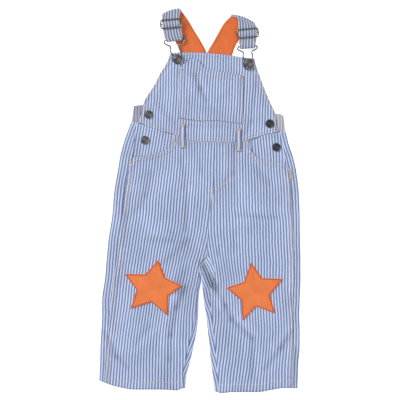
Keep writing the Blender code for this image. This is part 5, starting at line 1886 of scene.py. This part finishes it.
def side_pieces(side):
    """The leg, hip piece, belt loop, strap, star, slide, hook and bib button of one side."""
    name = SIDE_NAME[side]
    sewn = [leg_stitches(side)]
    cloth("front_leg_cloth_" + name, "front_leg_" + name, front_leg_rows(side), "stripe",
          flip=side == LEFT, sewn=sewn)
    cloth("back_leg_cloth_" + name, "back_leg_" + name, back_leg_rows(side), "stripe",
          flip=side == RIGHT, even=False)
    cloth("hip_cloth_" + name, "hip_piece_" + name, hip_rows(side), "stripe",
          flip=side == LEFT)
    cloth("belt_loop_cloth_" + name, "belt_loop_" + name, belt_loop_rows(side), "loop")
    rows = strap_rows(side, 0.0, True)
    lining_rows = strap_rows(side, LINING_INSET, False)
    cloth("strap_cloth_" + name, "strap_" + name, rows, "strap",
          even=False)
    cloth("strap_lining_cloth_" + name, "strap_lining_" + name, lining_rows, "lining",
          even=False)
    strap_stitches(side, rows, lining_rows)
    star(side)
    slide(side)
    hook = rounded_loop([(x, y, HOOK_LEVEL) for x, y in HOOK_WIRE[side]], 8)
    wire("hook_wire_" + name, hook, ["hook_" + name])
    place = BIB_BUTTON_AT[side]
    head = HOOK_LEVEL + WIRE_RADIUS + SEAM
    foot = bib_top_at(*place) - head - 0.1
    post = [(BIB_BUTTON_POST_RADIUS, 0.0), (BIB_BUTTON_POST_RADIUS, foot), (0.0, foot)]
    profile = BIB_BUTTON_HEAD + post
    turned("bib_button_turned_" + name, profile, (*place, head), "bib_button_" + name, "bib_button")


def side_tab(side):
    """An end of the back waist, wrong side up, that rises away from the bib."""
    name = SIDE_NAME[side]

    def height(x, y):
        out = abs(x - TAB_SEAM_X[side])
        rise = TAB_RISE * smooth(out / TAB_RISE_OVER)
        return WALL + 0.2 + rise + 0.25 * math.sin(x / 5.2 + y / 9.0) * math.sin(y / 6.1)

    rows = flat_rows(TAB_TOP[side], TAB_BOTTOM[side], 22, 18, height)
    # The left tab's finish is painted darker as shade and the right tab's painted lighter as light.
    cloth("side_tab_cloth_" + name, "side_tab_" + name, rows, "wrong_" + name)


def back_bib():
    """The back bib, between its two curved sides."""
    left_curve = Curve([(-y, x) for x, y in BACK_BIB_LEFT])
    right_curve = Curve([(-y, x) for x, y in BACK_BIB_RIGHT])
    rows = []
    for share in spread(0.0, 1.0, 36):
        y_left = mix(BACK_BIB_LEFT[0][1], BACK_BIB_LEFT[-1][1], share)
        y_right = mix(BACK_BIB_RIGHT[0][1], BACK_BIB_RIGHT[-1][1], share)
        row = []
        for t in spread(0.0, 1.0, 40):
            x = mix(left_curve(-y_left), right_curve(-y_right), t)
            y = mix(y_left, y_right, t)
            row.append((x, y, WALL, x, y))
        rows.append(row)
    cloth("back_bib_cloth", "back_bib", rows, "stripe")


def area_light(name, place, size, power):
    data = bpy.data.lights.new(name, "AREA")
    data.shape = "DISK"
    data.size = size
    data.energy = power
    obj = bpy.data.objects.new(name, data)
    obj.location = place
    obj.rotation_euler = (-Vector(place)).to_track_quat("-Z", "Y").to_euler()
    bpy.context.scene.collection.objects.link(obj)


def light_and_camera():
    scene = bpy.context.scene
    mesh = bpy.data.meshes.new("pale_floor")
    corners = [(x * FLOOR_HALF, y * FLOOR_HALF, 0) for x, y in ((-1, -1), (1, -1), (1, 1), (-1, 1))]
    mesh.from_pydata(corners, [], [(0, 1, 2, 3)])
    mesh.materials.append(plain_floor())
    floor = bpy.data.objects.new("pale_floor", mesh)
    floor.location.z = -FLOOR_BELOW * MM
    scene.collection.objects.link(floor)
    world = bpy.data.worlds.new("studio")
    world.use_nodes = True
    background = world.node_tree.nodes["Background"]
    background.inputs["Color"].default_value = (1.0, 1.0, 1.0, 1.0)
    background.inputs["Strength"].default_value = WORLD_STRENGTH
    scene.world = world
    for light in AREA_LIGHTS:
        area_light(*light)
    scene.view_settings.view_transform = "Standard"
    scene.view_settings.look = "None"
    camera = bpy.data.cameras.new("camera")
    camera.sensor_width = SENSOR
    camera.lens = SENSOR * CAMERA_ABOVE / FRAME_ACROSS
    camera.clip_end = 20.0
    obj = bpy.data.objects.new("camera", camera)
    obj.location = (0.0, CAMERA_Y, CAMERA_ABOVE)
    scene.collection.objects.link(obj)
    scene.camera = obj


def main():
    for side in (LEFT, RIGHT):
        side_pieces(side)
    for side in (LEFT, RIGHT):
        side_tab(side)
    back_bib()
    cloth("bib_cloth", "bib_front", bib_rows(), "stripe",
          sewn=[bib_stitches()])
    cloth("pocket_cloth", "bib_pocket", pocket_rows(), "stripe",
          sewn=[pocket_stitches()])
    fly_stitches()
    tacks()
    for name, place in SIDE_BUTTON_AT.items():
        side = LEFT if name.endswith("left") else RIGHT
        ground = bib_top_at(*place) if name.startswith("upper") else hip_top(side, *place)
        at = (*place, ground + 0.25)
        turned("side_button_turned_" + name, SIDE_BUTTON, at, "side_button_" + name, BUTTON_FINISH[name])
    light_and_camera()


main()
